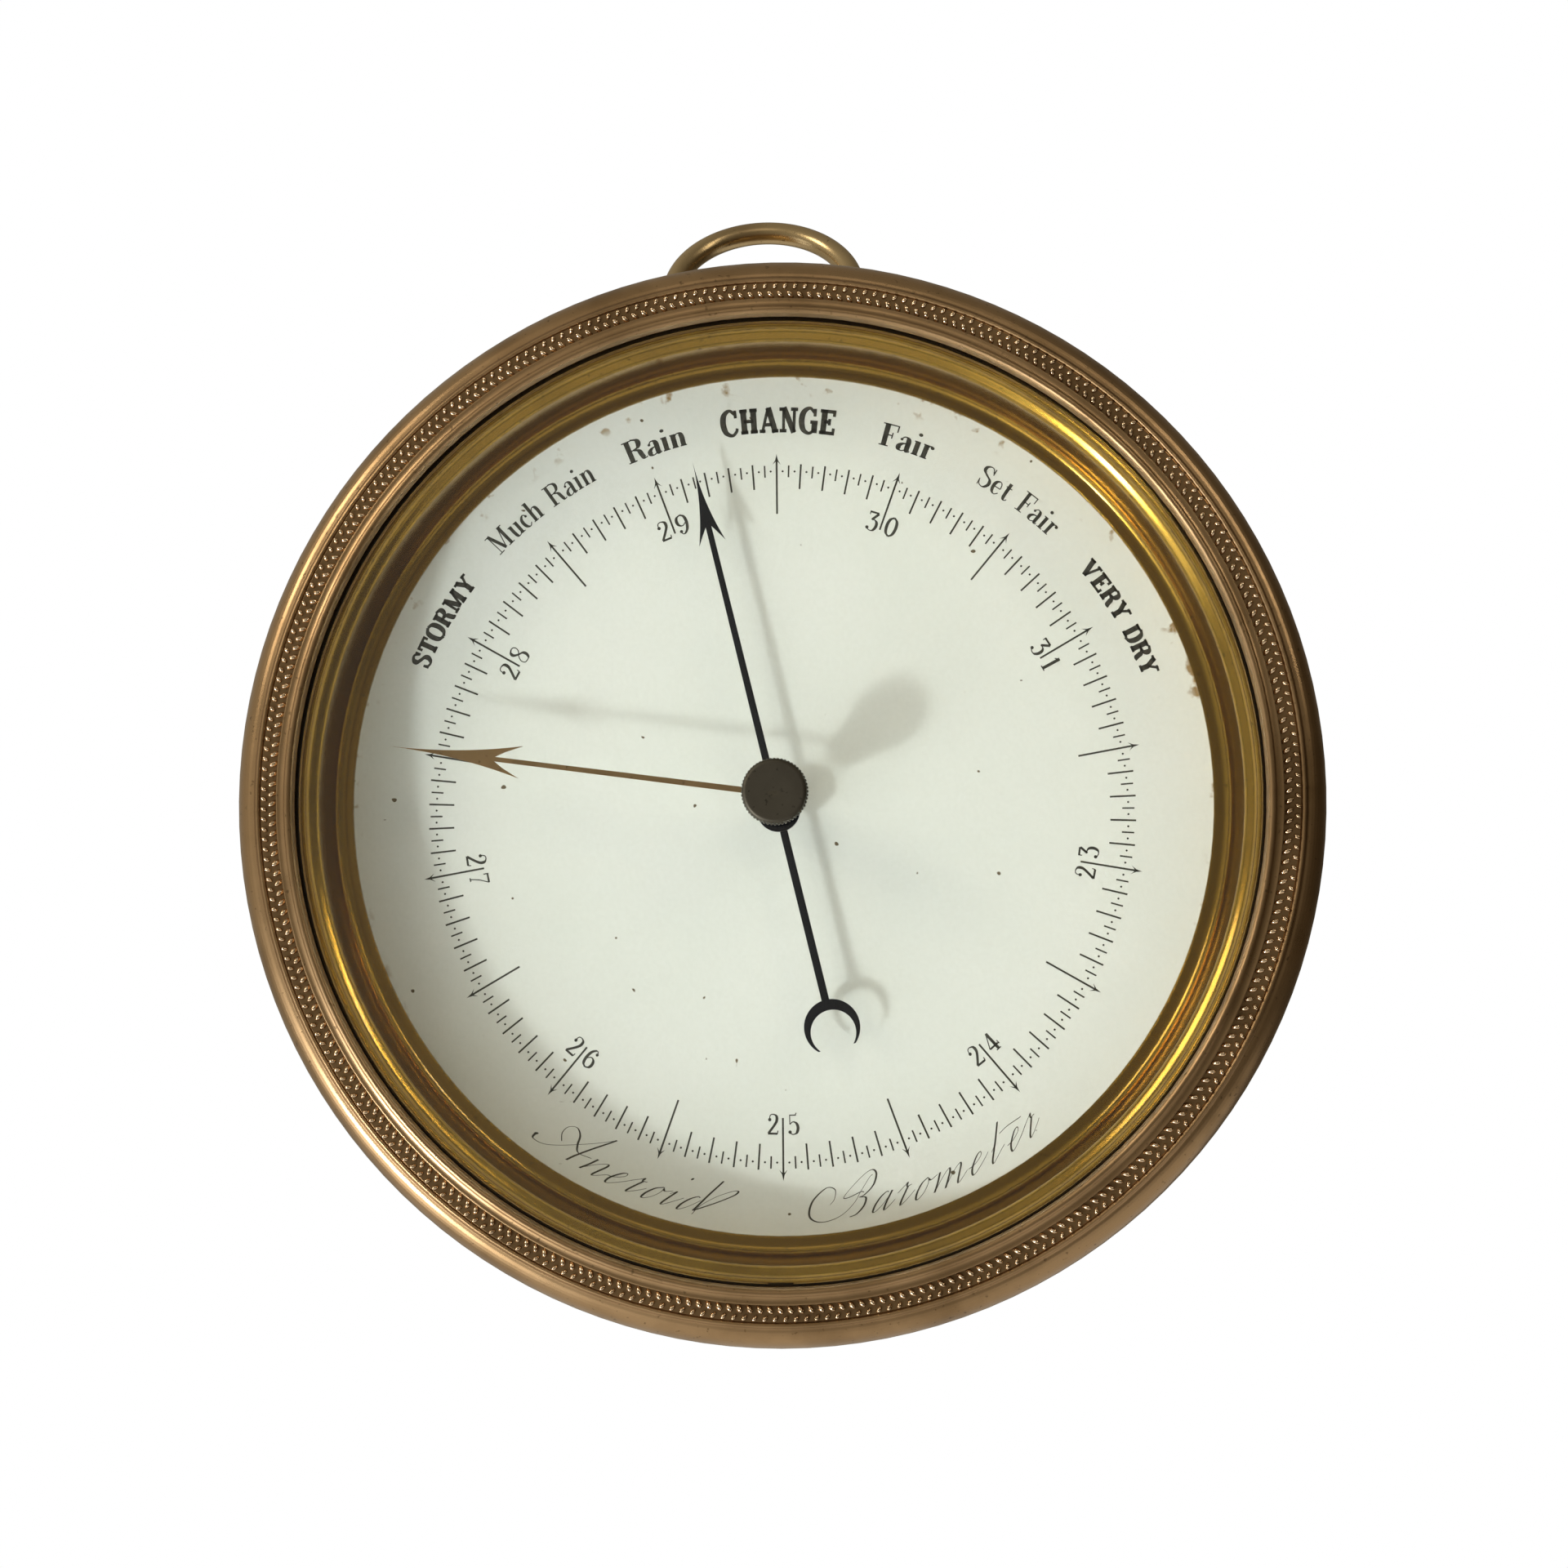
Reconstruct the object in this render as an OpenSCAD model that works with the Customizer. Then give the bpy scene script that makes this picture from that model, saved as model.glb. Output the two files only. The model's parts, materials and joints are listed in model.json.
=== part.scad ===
// Wall-hung aneroid barometer: brass drum case, glazed bezel, dial, capsule movement,
// pointer, hand-set second hand and hanging ring.
//
// The instrument stands upright. The flat case back lies in the plane y = 0, with the
// origin at its centre, and the dial faces -Y. Every module draws its piece lying on its
// back, as on a bench: x to the right, y up the dial, z forward from the case back.
// upright() then turns it up into place.

/* [Case] */
// Outer radius of the drum
case_r = 58; // [57.8:0.1:58]
// Thickness of the drum wall
case_wall = 0.8; // [0.7:0.1:0.8]
// Thickness of the drum back
case_back = 1.2; // [1:0.1:1.2]
// Distance from the back to the open rim of the drum
case_depth = 37.6; // [37.4:0.1:37.6]
// Radius of the rounded corner between back and wall
case_corner = 2; // [1.3:0.1:3]

/* [Bezel] */
// Outer radius of the bezel
bezel_r = 65; // [64.5:0.1:66]
// Radius of the opening in the bezel
bezel_lip_r = 57.3; // [57:0.1:57.4]
// Distance from the back to the crest of the inner lip
bezel_front = 43; // [42.8:0.1:43.2]
// Inner and outer radius of the seat for the milled band
band_in = 59; // [58.8:0.1:59.2]
band_out = 61.3; // [61.1:0.1:61.4]
// Thickness of the glass
glass_t = 2; // [1.8:0.1:2]

/* [Dial] */
// Radius of the dial plate
dial_r = 55; // [54.9:0.1:55.2]
// Distance from the back to the face of the dial
dial_face = 29; // [28.9:0.1:29]
// Thickness of the dial plate
dial_t = 0.8; // [0.6:0.1:0.8]
// Radius of the dial that shows inside the reflector ring
dial_window_r = 53.2; // [53:0.1:53.4]
// How far the dial and movement sit below the axis of the case
movement_drop = 1.6; // [1.2:0.1:1.7]

/* [Hands] */
// Length of the pointer from its axis to its tip
pointer_len = 44.4; // [43:0.1:45]
// Direction of the pointer, in degrees anticlockwise of twelve
pointer_angle = 13.3; // [0:0.1:40]
// Distance from the pointer axis to the centre of its crescent tail
crescent_at = 27; // [25:0.1:28]
// Length of the set hand from its axis to its tip
set_hand_len = 46.8; // [45:0.1:48]
// Direction of the set hand, in degrees anticlockwise of twelve
set_hand_angle = 82.2; // [60:0.1:100]
// Radius of the set knob
knob_r = 3.8; // [3.5:0.1:4.2]

/* [Hanging ring] */
// Mean radius of the ring
ring_r = 12.4; // [12:0.1:12.8]
// Radius of the wire it is bent from
ring_wire = 1.5; // [1.4:0.1:1.55]
// Distance of the ring's eye in front of the back
ring_depth = 15; // [14.5:0.1:15.5]
// Height of the ring's eye above the axis of the case
ring_eye = 61; // [60.8:0.1:61.2]
// How far the eye is left of twelve o'clock
ring_left = 1; // [0:0.1:2]
// Roll of the ring in its own plane
ring_roll = 7; // [0:0.5:8]

/* [Capsule] */
// Radius of the two diaphragms
capsule_r = 25; // [24:0.1:25.5]
// Thickness of their sheet
sheet = 0.3; // [0.25:0.05:0.35]
// Depth of their corrugations
corrugation = 0.5; // [0.3:0.1:0.6]

/* [Linkage] */
// Distance of the rocking shaft to the right of the pointer axis
shaft_x = 30; // [29.5:0.1:30.5]
// Length of the crank that the link turns
crank_len = 7; // [6.8:0.1:7.2]
// Length of the arm that pulls the chain
chain_arm_len = 12.9; // [12.8:0.1:13]
// Radius of the core of the chain drum
drum_core = 0.9; // [0.85:0.01:0.9]

/* [Hidden] */

e = 0.01;            // how far a cutter runs past the face it cuts
fit = 0.02;          // clearance of a pressed or screwed fit
play = 0.05;         // clearance of a turning fit
round_fn = 96;       // segments of the large rings
small_fn = 32;       // segments of pins and screws

// Stations along the depth of the instrument
rim_step = 0.5;                                  // flange that the rim of the drum carries
glass_back = bezel_front - 1.7 - glass_t;
glass_front = glass_back + glass_t;
bezel_bore = 58.1;
plate_back = case_back;
plate_front = case_back + 2;
capsule_bottom = plate_front + 1;
diaphragm_rise = 2.4;                            // from the rim of a diaphragm to its centre
capsule_rim = capsule_bottom + diaphragm_rise;
capsule_gap = 0.4;                               // band between the rims of the diaphragms
capsule_top = capsule_rim + capsule_gap + diaphragm_rise + 2 * sheet;
leaf_back = 13.6;
leaf_t = 1;
leaf_front = leaf_back + leaf_t;
shaft_d = 8.5;
chain_d = 21.3;
lower_plate_d = 18;
top_plate_d = 25.2;
pointer_d = dial_face + 3.4;
set_hand_d = dial_face + 9.2;

// Where things stand on the base plate
plate_r = 50;
case_screw_r = 44;
case_screw_angles = [90, 210, 330];
dial_pillar_r = 45;
dial_pillar_angles = [30, 150, 270];
bridge_x = -17;
bridge_foot_y = 31;
arbor_pillar_y = 33;
spacer_y = 11;
link_y = 10;
bracket_y = [-15, 17];
adjuster_x = -34;
clamp_y = 7;
lever_screw = [6.5, 3.2];

// The crank and the chain arm swing evenly about their mid positions, so both stand off
// by this angle in the rest position.
rocker_rest = 5.9;
crank_end = [shaft_x + crank_len * cos(rocker_rest), shaft_d - crank_len * sin(rocker_rest)];
chain_hook_x = shaft_x + chain_arm_len * sin(rocker_rest);
link_top_d = leaf_front - 0.1;

// The ring leans back until it rests on the wall behind the case.
ring_wall_gap = 0.3;
ring_lean = asin((ring_depth - ring_wire - ring_wall_gap) / (2 * ring_r));

frame_screw_places = concat(
    [for (y = [-1, 1]) [bridge_x, y * bridge_foot_y]],
    [for (y = [-1, 1]) [0, y * arbor_pillar_y]],
    [for (a = dial_pillar_angles) dial_pillar_r * [cos(a), sin(a)]],
    [for (y = bracket_y) [shaft_x, y]]
);

// ---- Shared shapes ----

// Points of an elliptical arc about c, from angle a0 to a1 in n steps.
function arc(c, rx, ry, a0, a1, n) =
    [for (i = [0:n]) let (a = a0 + (a1 - a0) * i / n) c + [rx * cos(a), ry * sin(a)]];

// Turns a piece drawn lying on its back up into the frame of the instrument.
module upright() {
    rotate([90, 0, 0]) children();
}

// As upright(), for the pieces centred on the pointer axis.
module in_movement() {
    upright() translate([0, -movement_drop, 0]) children();
}

// A solid of revolution about the axis of the dial, from points [radius, depth].
module turned(points, fn = round_fn) {
    rotate_extrude($fn = fn) polygon(points);
}

// A cylinder along the bench's x or y axis, centred on p.
module bar_x(p, r, length) {
    translate(p) rotate([0, 90, 0]) cylinder(r = r, h = length, center = true, $fn = small_fn);
}

module bar_y(p, r, length) {
    translate(p) rotate([90, 0, 0]) cylinder(r = r, h = length, center = true, $fn = small_fn);
}

// A countersunk screw with its head at depth d, flush with the back, and its point forward.
module countersunk_screw(d, length, r, head_r, head_h) {
    difference() {
        union() {
            translate([0, 0, d]) cylinder(r1 = head_r, r2 = r, h = head_h, $fn = small_fn);
            translate([0, 0, d + head_h - e]) cylinder(r = r, h = length - head_h, $fn = small_fn);
        }
        translate([-head_r, -0.25, d - e]) cube([2 * head_r, 0.5, 0.5]);
    }
}

module countersunk_hole(d, length, r, head_r, head_h) {
    translate([0, 0, d - e]) cylinder(r1 = head_r + fit, r2 = r + fit, h = head_h + e, $fn = small_fn);
    translate([0, 0, d]) cylinder(r = r + fit, h = length, $fn = small_fn);
}

// A slotted cheese-head screw with the underside of its head at depth d, point to the back.
module cheese_screw(d, r, length, head_r, head_h) {
    difference() {
        union() {
            translate([0, 0, d]) cylinder(r = head_r, h = head_h, $fn = small_fn);
            translate([0, 0, d - length]) cylinder(r = r, h = length + e, $fn = small_fn);
        }
        translate([-head_r - e, -0.2, d + head_h * 0.55]) cube([2 * head_r + 2 * e, 0.4, head_h]);
    }
}

module case_screw_hole() {
    countersunk_hole(0, 5, 1.2, 2.4, case_back);
}

// ---- Case ----

module case_drum() {
    inner_r = case_r - case_wall;
    inner_corner = case_corner - case_wall;
    color("goldenrod") upright() difference() {
        turned(concat(
            [[0, 0]],
            arc([case_r - case_corner, case_corner], case_corner, case_corner, -90, 0, 8),
            [[case_r, case_depth], [inner_r, case_depth]],
            arc([inner_r - inner_corner, case_back + inner_corner], inner_corner, inner_corner, 0, -90, 6),
            [[0, case_back]]
        ));
        translate([0, -movement_drop, 0]) {
            for (a = case_screw_angles) rotate(a) translate([case_screw_r, 0, 0]) case_screw_hole();
            translate([adjuster_x, 0, -1]) cylinder(r = 3.3, h = 4, $fn = small_fn);
        }
        bar_y([-ring_left, case_r, ring_depth], 1.8, 8);
    }
}

module base_plate_screws() {
    color("steelblue") in_movement() for (a = case_screw_angles)
        rotate(a) translate([case_screw_r, 0, 0])
            countersunk_screw(0, plate_front, 1.2, 2.4, case_back - fit);
}

module bezel() {
    flange = glass_front;
    lip_bead = 0.5;
    lip_c = [bezel_lip_r + lip_bead, bezel_front - lip_bead];
    band_floor = bezel_front - 1.3;
    ridge_c = [band_out + 0.3, band_floor + 0.1];
    shoulder = ridge_c[0] + 0.4;
    waist = 37.2;
    foot = 33.6;
    color("rosybrown") upright() turned(concat(
        [[bezel_lip_r, flange]],
        arc(lip_c, lip_bead, lip_bead, 180, 40, 8),
        arc([lip_c[0] + 1, bezel_front - 0.1], 0.75, 0.4, 210, 300, 5),
        [[band_in, bezel_front - 0.75], [band_in + 0.1, band_floor], [band_out - 0.1, band_floor - 0.3]],
        arc(ridge_c, 0.3, 0.3, 170, 10, 6),
        arc([shoulder, waist], bezel_r - shoulder, ridge_c[1] - waist - 0.15, 88, 0, 12),
        arc([bezel_r - 0.6, foot], 0.6, 0.6, 0, -80, 5),
        arc([bezel_r, foot - 5.4], 5.2, 4.6, 100, 176, 8),
        [[case_r + 1.2, 27.6], [bezel_bore, 27.6], [bezel_bore, flange]]
    ));
}

module bezel_glass() {
    color("lightcyan", 0.3) upright() difference() {
        translate([0, 0, glass_back]) cylinder(r = bezel_bore - 0.1, h = glass_t, $fn = round_fn);
        translate([0, 0, glass_back - 1]) cylinder(r = 1.1 + play, h = glass_t + 2, $fn = small_fn);
    }
}

// A sprung wire ring of flat section, cut through at six o'clock.
module glass_retaining_ring() {
    back = case_depth + rim_step;
    color("goldenrod") upright() difference() {
        turned([
            [bezel_lip_r - 0.1, back], [bezel_bore - 0.05, back],
            [bezel_bore - 0.05, glass_back], [bezel_lip_r - 0.1, glass_back]
        ]);
        translate([-1.5, -case_r - 2, back - 1]) cube([3, 4, 4]);
    }
}

// A pressed ring: a flat lip on the dial, a steep wall, a sloping ledge below the glass, and
// a flange that rests on the rim of the drum.
module reflector_ring() {
    lip_out = dial_window_r + 1.1;
    lip_front = dial_face + 0.5;
    foot = [lip_out, dial_face + 2];
    foot_r = 1.1;
    shoulder = [case_r - 1.65, case_depth - 1.9];
    shoulder_r = 0.7;
    flare = [case_r - 1.8, case_depth + 0.3];
    flare_r = 0.7;
    pressing = 0.4;
    thin = pressing - 0.05;
    inside = case_r - case_wall - 0.08;
    color("gold") upright() turned(concat(
        [[dial_window_r, dial_face], [dial_window_r, lip_front]],
        arc(foot, foot_r, foot[1] - lip_front, -90, -12, 8),
        arc(shoulder, shoulder_r, shoulder_r + 0.2, 165, 115, 5),
        arc(flare, flare_r, flare_r + 0.5, -65, -5, 6),
        [[inside, case_depth + rim_step], [case_r, case_depth + rim_step], [case_r, case_depth], [inside, case_depth]],
        arc(flare, flare_r + 0.25, flare_r + 0.9, -15, -65, 5),
        arc(shoulder, shoulder_r - thin, shoulder_r + 0.2 - pressing, 115, 165, 5),
        arc(foot, foot_r + pressing, foot[1] - dial_face, -12, -90, 8)
    ));
}

// ---- Dial ----

module dial_plate() {
    color("whitesmoke") in_movement() difference() {
        translate([0, 0, dial_face - dial_t]) cylinder(r = dial_r, h = dial_t, $fn = round_fn);
        translate([0, 0, dial_face - dial_t - 1]) cylinder(r = 2.2, h = dial_t + 2, $fn = small_fn);
    }
}

module dial_feet() {
    color("goldenrod") in_movement() for (a = dial_pillar_angles)
        rotate(a) translate([dial_pillar_r, 0, dial_face - dial_t - 3.4])
            cylinder(r = 0.8, h = 3.4, $fn = small_fn);
}

module dial_pillars() {
    top = dial_face - dial_t;
    color("goldenrod") in_movement() for (a = dial_pillar_angles)
        rotate(a) translate([dial_pillar_r, 0, 0]) difference() {
            translate([0, 0, plate_front]) cylinder(r = 2.4, h = top - plate_front, $fn = small_fn);
            translate([0, 0, plate_front - 1]) cylinder(r = 1.2 + fit, h = 5.2, $fn = small_fn);
            translate([0, 0, top - 3.6]) cylinder(r = 0.8 + fit, h = 4, $fn = small_fn);
            bar_x([2, 0, top - 2], 0.6 + fit, 4);
        }
}

module dial_foot_screws() {
    color("steelblue") in_movement() for (a = dial_pillar_angles)
        rotate(a) translate([dial_pillar_r, 0, 0]) difference() {
            bar_x([2, 0, dial_face - dial_t - 2], 0.6, 2.2);
            translate([2.8, -0.1, dial_face - dial_t - 3]) cube([1, 0.2, 2]);
        }
}

// ---- Base plate ----

module base_plate() {
    color("goldenrod") in_movement() difference() {
        translate([0, 0, plate_back]) cylinder(r = plate_r, h = plate_front - plate_back, $fn = round_fn);
        for (a = case_screw_angles) rotate(a) translate([case_screw_r, 0, 0])
            cylinder(r = 1.2 + fit, h = 10, $fn = small_fn);
        for (p = frame_screw_places) translate([p[0], p[1], 0])
            countersunk_hole(plate_back, 5, 1.2, 2.2, 1.1);
        cylinder(r = 2 + fit, h = 10, $fn = small_fn);
        translate([adjuster_x, 0, 0]) cylinder(r = 1.5 + play, h = 10, $fn = small_fn);
    }
}

module frame_screws() {
    color("steelblue") in_movement() for (p = frame_screw_places) translate([p[0], p[1], 0])
        countersunk_screw(plate_back, 5.4, 1.2, 2.2, 1.1);
}

// ---- Capsule ----

// Depth of a diaphragm at radius r: a dish, with three rings of corrugation between its
// flat centre and its flat rim.
function diaphragm_depth(r) =
    let (flat = 5, rim = capsule_r - 2.5, t = min(1, max(0, (r - flat) / (rim - flat))))
    t * diaphragm_rise + corrugation * (1 - cos(360 * 3 * t)) / 2;

module diaphragm() {
    steps = 42;
    line = [for (i = [0:steps]) let (r = capsule_r * i / steps) [r, diaphragm_depth(r)]];
    turned(concat(line, [for (i = [steps:-1:0]) line[i] + [0, sheet]]), 64);
}

module capsule_base_stud() {
    color("goldenrod") in_movement() {
        translate([0, 0, plate_back + 0.1]) cylinder(r = 2, h = plate_front - plate_back, $fn = small_fn);
        translate([0, 0, plate_front]) cylinder(r = 4, h = capsule_bottom - plate_front, $fn = small_fn);
    }
}

module capsule_back_diaphragm() {
    color("silver") in_movement() translate([0, 0, capsule_bottom]) diaphragm();
}

module capsule_front_diaphragm() {
    color("silver") in_movement() translate([0, 0, capsule_top]) mirror([0, 0, 1]) diaphragm();
}

module capsule_rim_band() {
    inner = capsule_rim + sheet;
    color("darkgoldenrod") in_movement() {
        turned([
            [capsule_r - 2.3, inner], [capsule_r + 0.6, inner],
            [capsule_r + 0.6, inner + capsule_gap], [capsule_r - 2.3, inner + capsule_gap]
        ], 64);
        turned([
            [capsule_r + 0.05, capsule_rim - 0.3], [capsule_r + 0.6, capsule_rim - 0.3],
            [capsule_r + 0.6, inner + capsule_gap + 0.6], [capsule_r + 0.05, inner + capsule_gap + 0.6]
        ], 64);
    }
}

// The stub of the tube through which the capsule was emptied of air, pinched shut.
module capsule_seal_tip() {
    color("orangered") in_movement() rotate(225)
        translate([capsule_r + 0.6, 0, capsule_rim + sheet + capsule_gap / 2]) rotate([0, 90, 0]) {
            cylinder(r = 0.7, h = 2.4, $fn = small_fn);
            translate([0, 0, 2.4 - e]) cylinder(r1 = 0.7, r2 = 0.3, h = 1, $fn = small_fn);
        }
}

module capsule_pillar() {
    top = leaf_front + 2.2;
    color("silver") in_movement() difference() {
        union() {
            translate([0, 0, capsule_top]) cylinder(r = 3.5, h = 0.8, $fn = small_fn);
            translate([0, 0, capsule_top + 0.8 - e]) cylinder(r = 2, h = top - capsule_top - 0.8, $fn = small_fn);
        }
        bar_y([0, 0, leaf_front + 0.75], 0.7 + fit, 10);
    }
}

module hook_pin() {
    color("dimgray") in_movement() bar_y([0, 0, leaf_front + 0.75], 0.7, 13);
}

// ---- Mainspring and its bridge ----

module spring_bridge() {
    foot = [10, 8];
    beam_back = 11.4;
    color("darkolivegreen") in_movement() difference() {
        union() {
            translate([bridge_x - foot[0] / 2, -bridge_foot_y - foot[1] / 2, beam_back])
                cube([foot[0], 2 * bridge_foot_y + foot[1], leaf_back - beam_back]);
            for (s = [-1, 1]) translate([bridge_x - foot[0] / 2, s * bridge_foot_y - foot[1] / 2, plate_front])
                cube([foot[0], foot[1], leaf_back - plate_front]);
            translate([adjuster_x - 4, -3, beam_back + 0.6])
                cube([bridge_x - adjuster_x, 6, leaf_back - beam_back - 0.6]);
        }
        for (s = [-1, 1]) {
            translate([bridge_x, s * bridge_foot_y, plate_front - 1]) cylinder(r = 1.2 + fit, h = 5.2, $fn = small_fn);
            translate([bridge_x, s * clamp_y, beam_back - 1]) cylinder(r = 1 + fit, h = 5, $fn = small_fn);
        }
    }
}

// A broad leaf that reaches from the bridge to just past the capsule's pillar, with a slot
// that the pillar comes up through.
module mainspring() {
    clamp_half = 12;
    free_half = 5.5;
    free_x = 9;
    color("slategray") in_movement() difference() {
        translate([0, 0, leaf_back]) linear_extrude(leaf_t) polygon([
            [bridge_x - 5, -clamp_half], [bridge_x + 5, -clamp_half], [free_x, -free_half],
            [free_x, free_half], [bridge_x + 5, clamp_half], [bridge_x - 5, clamp_half]
        ]);
        translate([0, 0, leaf_back - 1]) cylinder(r = 2.5, h = 4, $fn = small_fn);
        for (s = [-1, 1]) {
            translate([bridge_x, s * clamp_y, leaf_back - 1]) cylinder(r = 1 + fit, h = 4, $fn = small_fn);
            translate([lever_screw[0], s * lever_screw[1], leaf_back - 1]) cylinder(r = 0.7 + play, h = 4, $fn = small_fn);
        }
    }
}

module spring_clamp_plate() {
    color("goldenrod") in_movement() difference() {
        translate([bridge_x - 4, -11, leaf_front]) cube([8, 22, 1.6]);
        for (s = [-1, 1]) translate([bridge_x, s * clamp_y, leaf_front - 1]) cylinder(r = 1 + fit, h = 4, $fn = small_fn);
    }
}

module spring_clamp_screws() {
    color("steelblue") in_movement() for (s = [-1, 1])
        translate([bridge_x, s * clamp_y, 0]) cheese_screw(leaf_front + 1.6, 1, 4.6, 2, 1.3);
}

module adjusting_screw() {
    color("steelblue") in_movement() translate([adjuster_x, 0, 0]) difference() {
        union() {
            translate([0, 0, 0.2]) cylinder(r = 2.9, h = case_back - 0.3, $fn = small_fn);
            translate([0, 0, 0.5]) cylinder(r = 1.5, h = 11.2, $fn = small_fn);
        }
        translate([-3, -0.3, 0]) cube([6, 0.6, 0.7]);
    }
}

// ---- Lever, link and rocking shaft ----

module lever_arm() {
    plate_t = 1.2;
    end = [crank_end[0], link_y];
    fork_w = 4;
    color("goldenrod") in_movement() difference() {
        union() {
            translate([4.5, -5, leaf_front]) cube([4.5, 10, plate_t]);
            translate([0, 0, leaf_front]) linear_extrude(plate_t) polygon([
                [8.5, -4.5], [13, -0.6], [end[0] - 2.4, link_y - fork_w / 2],
                [end[0] - 2.4, link_y + fork_w / 2], [12, 3], [8.5, 4.8]
            ]);
            translate([end[0] - 3.2, link_y - fork_w / 2, link_top_d - 1.3])
                cube([4.8, fork_w, leaf_front + plate_t - link_top_d + 1.3]);
        }
        translate([end[0] - 1.6, link_y - 1, link_top_d - 3]) cube([5, 2, 6]);
        bar_y([end[0], link_y, link_top_d], 0.45 + play, 6);
        for (s = [-1, 1]) translate([lever_screw[0], s * lever_screw[1], leaf_front - 1])
            cylinder(r = 0.7 + fit, h = 4, $fn = small_fn);
    }
}

module lever_screws() {
    color("steelblue") in_movement() for (s = [-1, 1])
        translate([lever_screw[0], s * lever_screw[1], 0]) cheese_screw(leaf_front + 1.2, 0.7, 2.4, 1.3, 0.9);
}

module link_rod() {
    eye_t = 1.6;
    color("silver") in_movement() difference() {
        union() {
            for (d = [link_top_d, crank_end[1]]) bar_y([crank_end[0], link_y, d], 1.15, eye_t);
            translate([crank_end[0], link_y, crank_end[1]])
                cylinder(r = 0.6, h = link_top_d - crank_end[1], $fn = small_fn);
        }
        for (d = [link_top_d, crank_end[1]]) bar_y([crank_end[0], link_y, d], 0.45 + fit, 4);
    }
}

module link_pins() {
    color("dimgray") in_movement() for (d = [link_top_d, crank_end[1]])
        bar_y([crank_end[0], link_y, d], 0.45, 4.6);
}

module rocking_shaft() {
    low = bracket_y[0] + 2.15;
    high = bracket_y[1] - 2.15;
    color("silver") in_movement() {
        bar_y([shaft_x, (low + high) / 2, shaft_d], 0.9, high - low);
        bar_y([shaft_x, (low + high) / 2, shaft_d], 0.45, high - low + 3.4);
    }
}

module shaft_brackets() {
    height = shaft_d + 2 - plate_front;
    color("goldenrod") in_movement() for (y = bracket_y) difference() {
        translate([shaft_x - 3, y - 2, plate_front]) cube([6, 4, height]);
        bar_y([shaft_x, y, shaft_d], 0.45 + play, 6);
        translate([shaft_x, y, plate_front - 1]) cylinder(r = 1.2 + fit, h = 4.9, $fn = small_fn);
    }
}

// The crank is a fork, so that the link's lower eye lies between its two ears. Its pin hole
// is wide enough to let the link's end follow the lever instead of the crank's circle.
module crank_arm() {
    fork_w = 4;
    arm_t = 2.4;
    inset = 1.2;         // the arm starts and ends inside its bosses, clear of the shaft
    color("goldenrod") in_movement() difference() {
        union() {
            bar_y([shaft_x, link_y, shaft_d], 1.9, fork_w);
            translate([shaft_x, link_y - fork_w / 2, shaft_d]) rotate([0, rocker_rest, 0])
                translate([inset, 0, -arm_t / 2]) cube([crank_len - 1.25 * inset, fork_w, arm_t]);
            bar_y([crank_end[0], link_y, crank_end[1]], 1.5, fork_w);
        }
        bar_y([shaft_x, link_y, shaft_d], 0.9 + fit, 6);
        bar_y([crank_end[0], link_y, crank_end[1]], 0.8, 6);
        translate([crank_end[0] - 2.4, link_y - 1, shaft_d - 5]) cube([6, 2, 10]);
    }
}

module chain_arm() {
    y = drum_core + 0.1;
    tip = [0, 0, chain_arm_len];
    color("goldenrod") in_movement() difference() {
        union() {
            bar_y([shaft_x, y, shaft_d], 1.9, 2);
            translate([shaft_x, y, shaft_d]) rotate([0, rocker_rest, 0]) {
                translate([-0.7, -0.4, 0]) cube([1.4, 0.8, chain_arm_len]);
                bar_y(tip, 0.9, 0.8);
            }
        }
        bar_y([shaft_x, y, shaft_d], 0.9 + fit, 6);
        translate([shaft_x, y, shaft_d]) rotate([0, rocker_rest, 0]) bar_y(tip, 0.35, 4);
    }
}

// The straight run of the flat-link chain, from its hook to where it winds on.
module chain() {
    start = 1;
    color("dimgray") in_movement()
        translate([start, drum_core, chain_d - 0.35]) cube([chain_hook_x - 1 - start, 0.2, 0.7]);
}

// ---- Arbor and its frame ----

module arbor() {
    color("silver") in_movement() {
        translate([0, 0, lower_plate_d + 0.1]) cylinder(r = 0.3, h = 2, $fn = small_fn);
        translate([0, 0, lower_plate_d + 1.3]) cylinder(r = 0.6, h = pointer_d + 1.7 - lower_plate_d - 1.3, $fn = small_fn);
    }
}

// Core, two flanges and the turns of chain that lie between them.
module chain_drum() {
    color("goldenrod") in_movement() difference() {
        turned([
            [0.3, chain_d - 1], [1.8, chain_d - 1], [1.8, chain_d - 0.7], [drum_core + 0.2, chain_d - 0.6],
            [drum_core + 0.2, chain_d + 0.6], [1.8, chain_d + 0.7], [1.8, chain_d + 1], [0.3, chain_d + 1]
        ], 48);
        cylinder(r = 0.6 + fit, h = 40, $fn = small_fn);
    }
}

module hairspring_collet() {
    color("goldenrod") in_movement() difference() {
        translate([0, 0, 23]) cylinder(r = 1.7, h = 1.2, $fn = small_fn);
        cylinder(r = 0.6 + fit, h = 40, $fn = small_fn);
    }
}

// A flat spiral of fine strip, from the collet out to the stud.
module hairspring() {
    turns = 6;
    inner = 1.75;
    outer = 7.9;
    strip = 0.14;
    steps = turns * 20;
    side = [for (i = [0:steps]) let (t = i / steps, a = 360 * turns * t) [inner + (outer - inner) * t, a]];
    color("steelblue") in_movement() translate([0, 0, 23.4]) linear_extrude(0.5) polygon(concat(
        [for (p = side) p[0] * [cos(p[1]), sin(p[1])]],
        [for (i = [steps:-1:0]) let (p = side[i]) (p[0] + strip) * [cos(p[1]), sin(p[1])]]
    ));
}

module hairspring_stud() {
    color("silver") in_movement() translate([8.9, 0, 23])
        cylinder(r = 0.8, h = top_plate_d - 23, $fn = small_fn);
}

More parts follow.
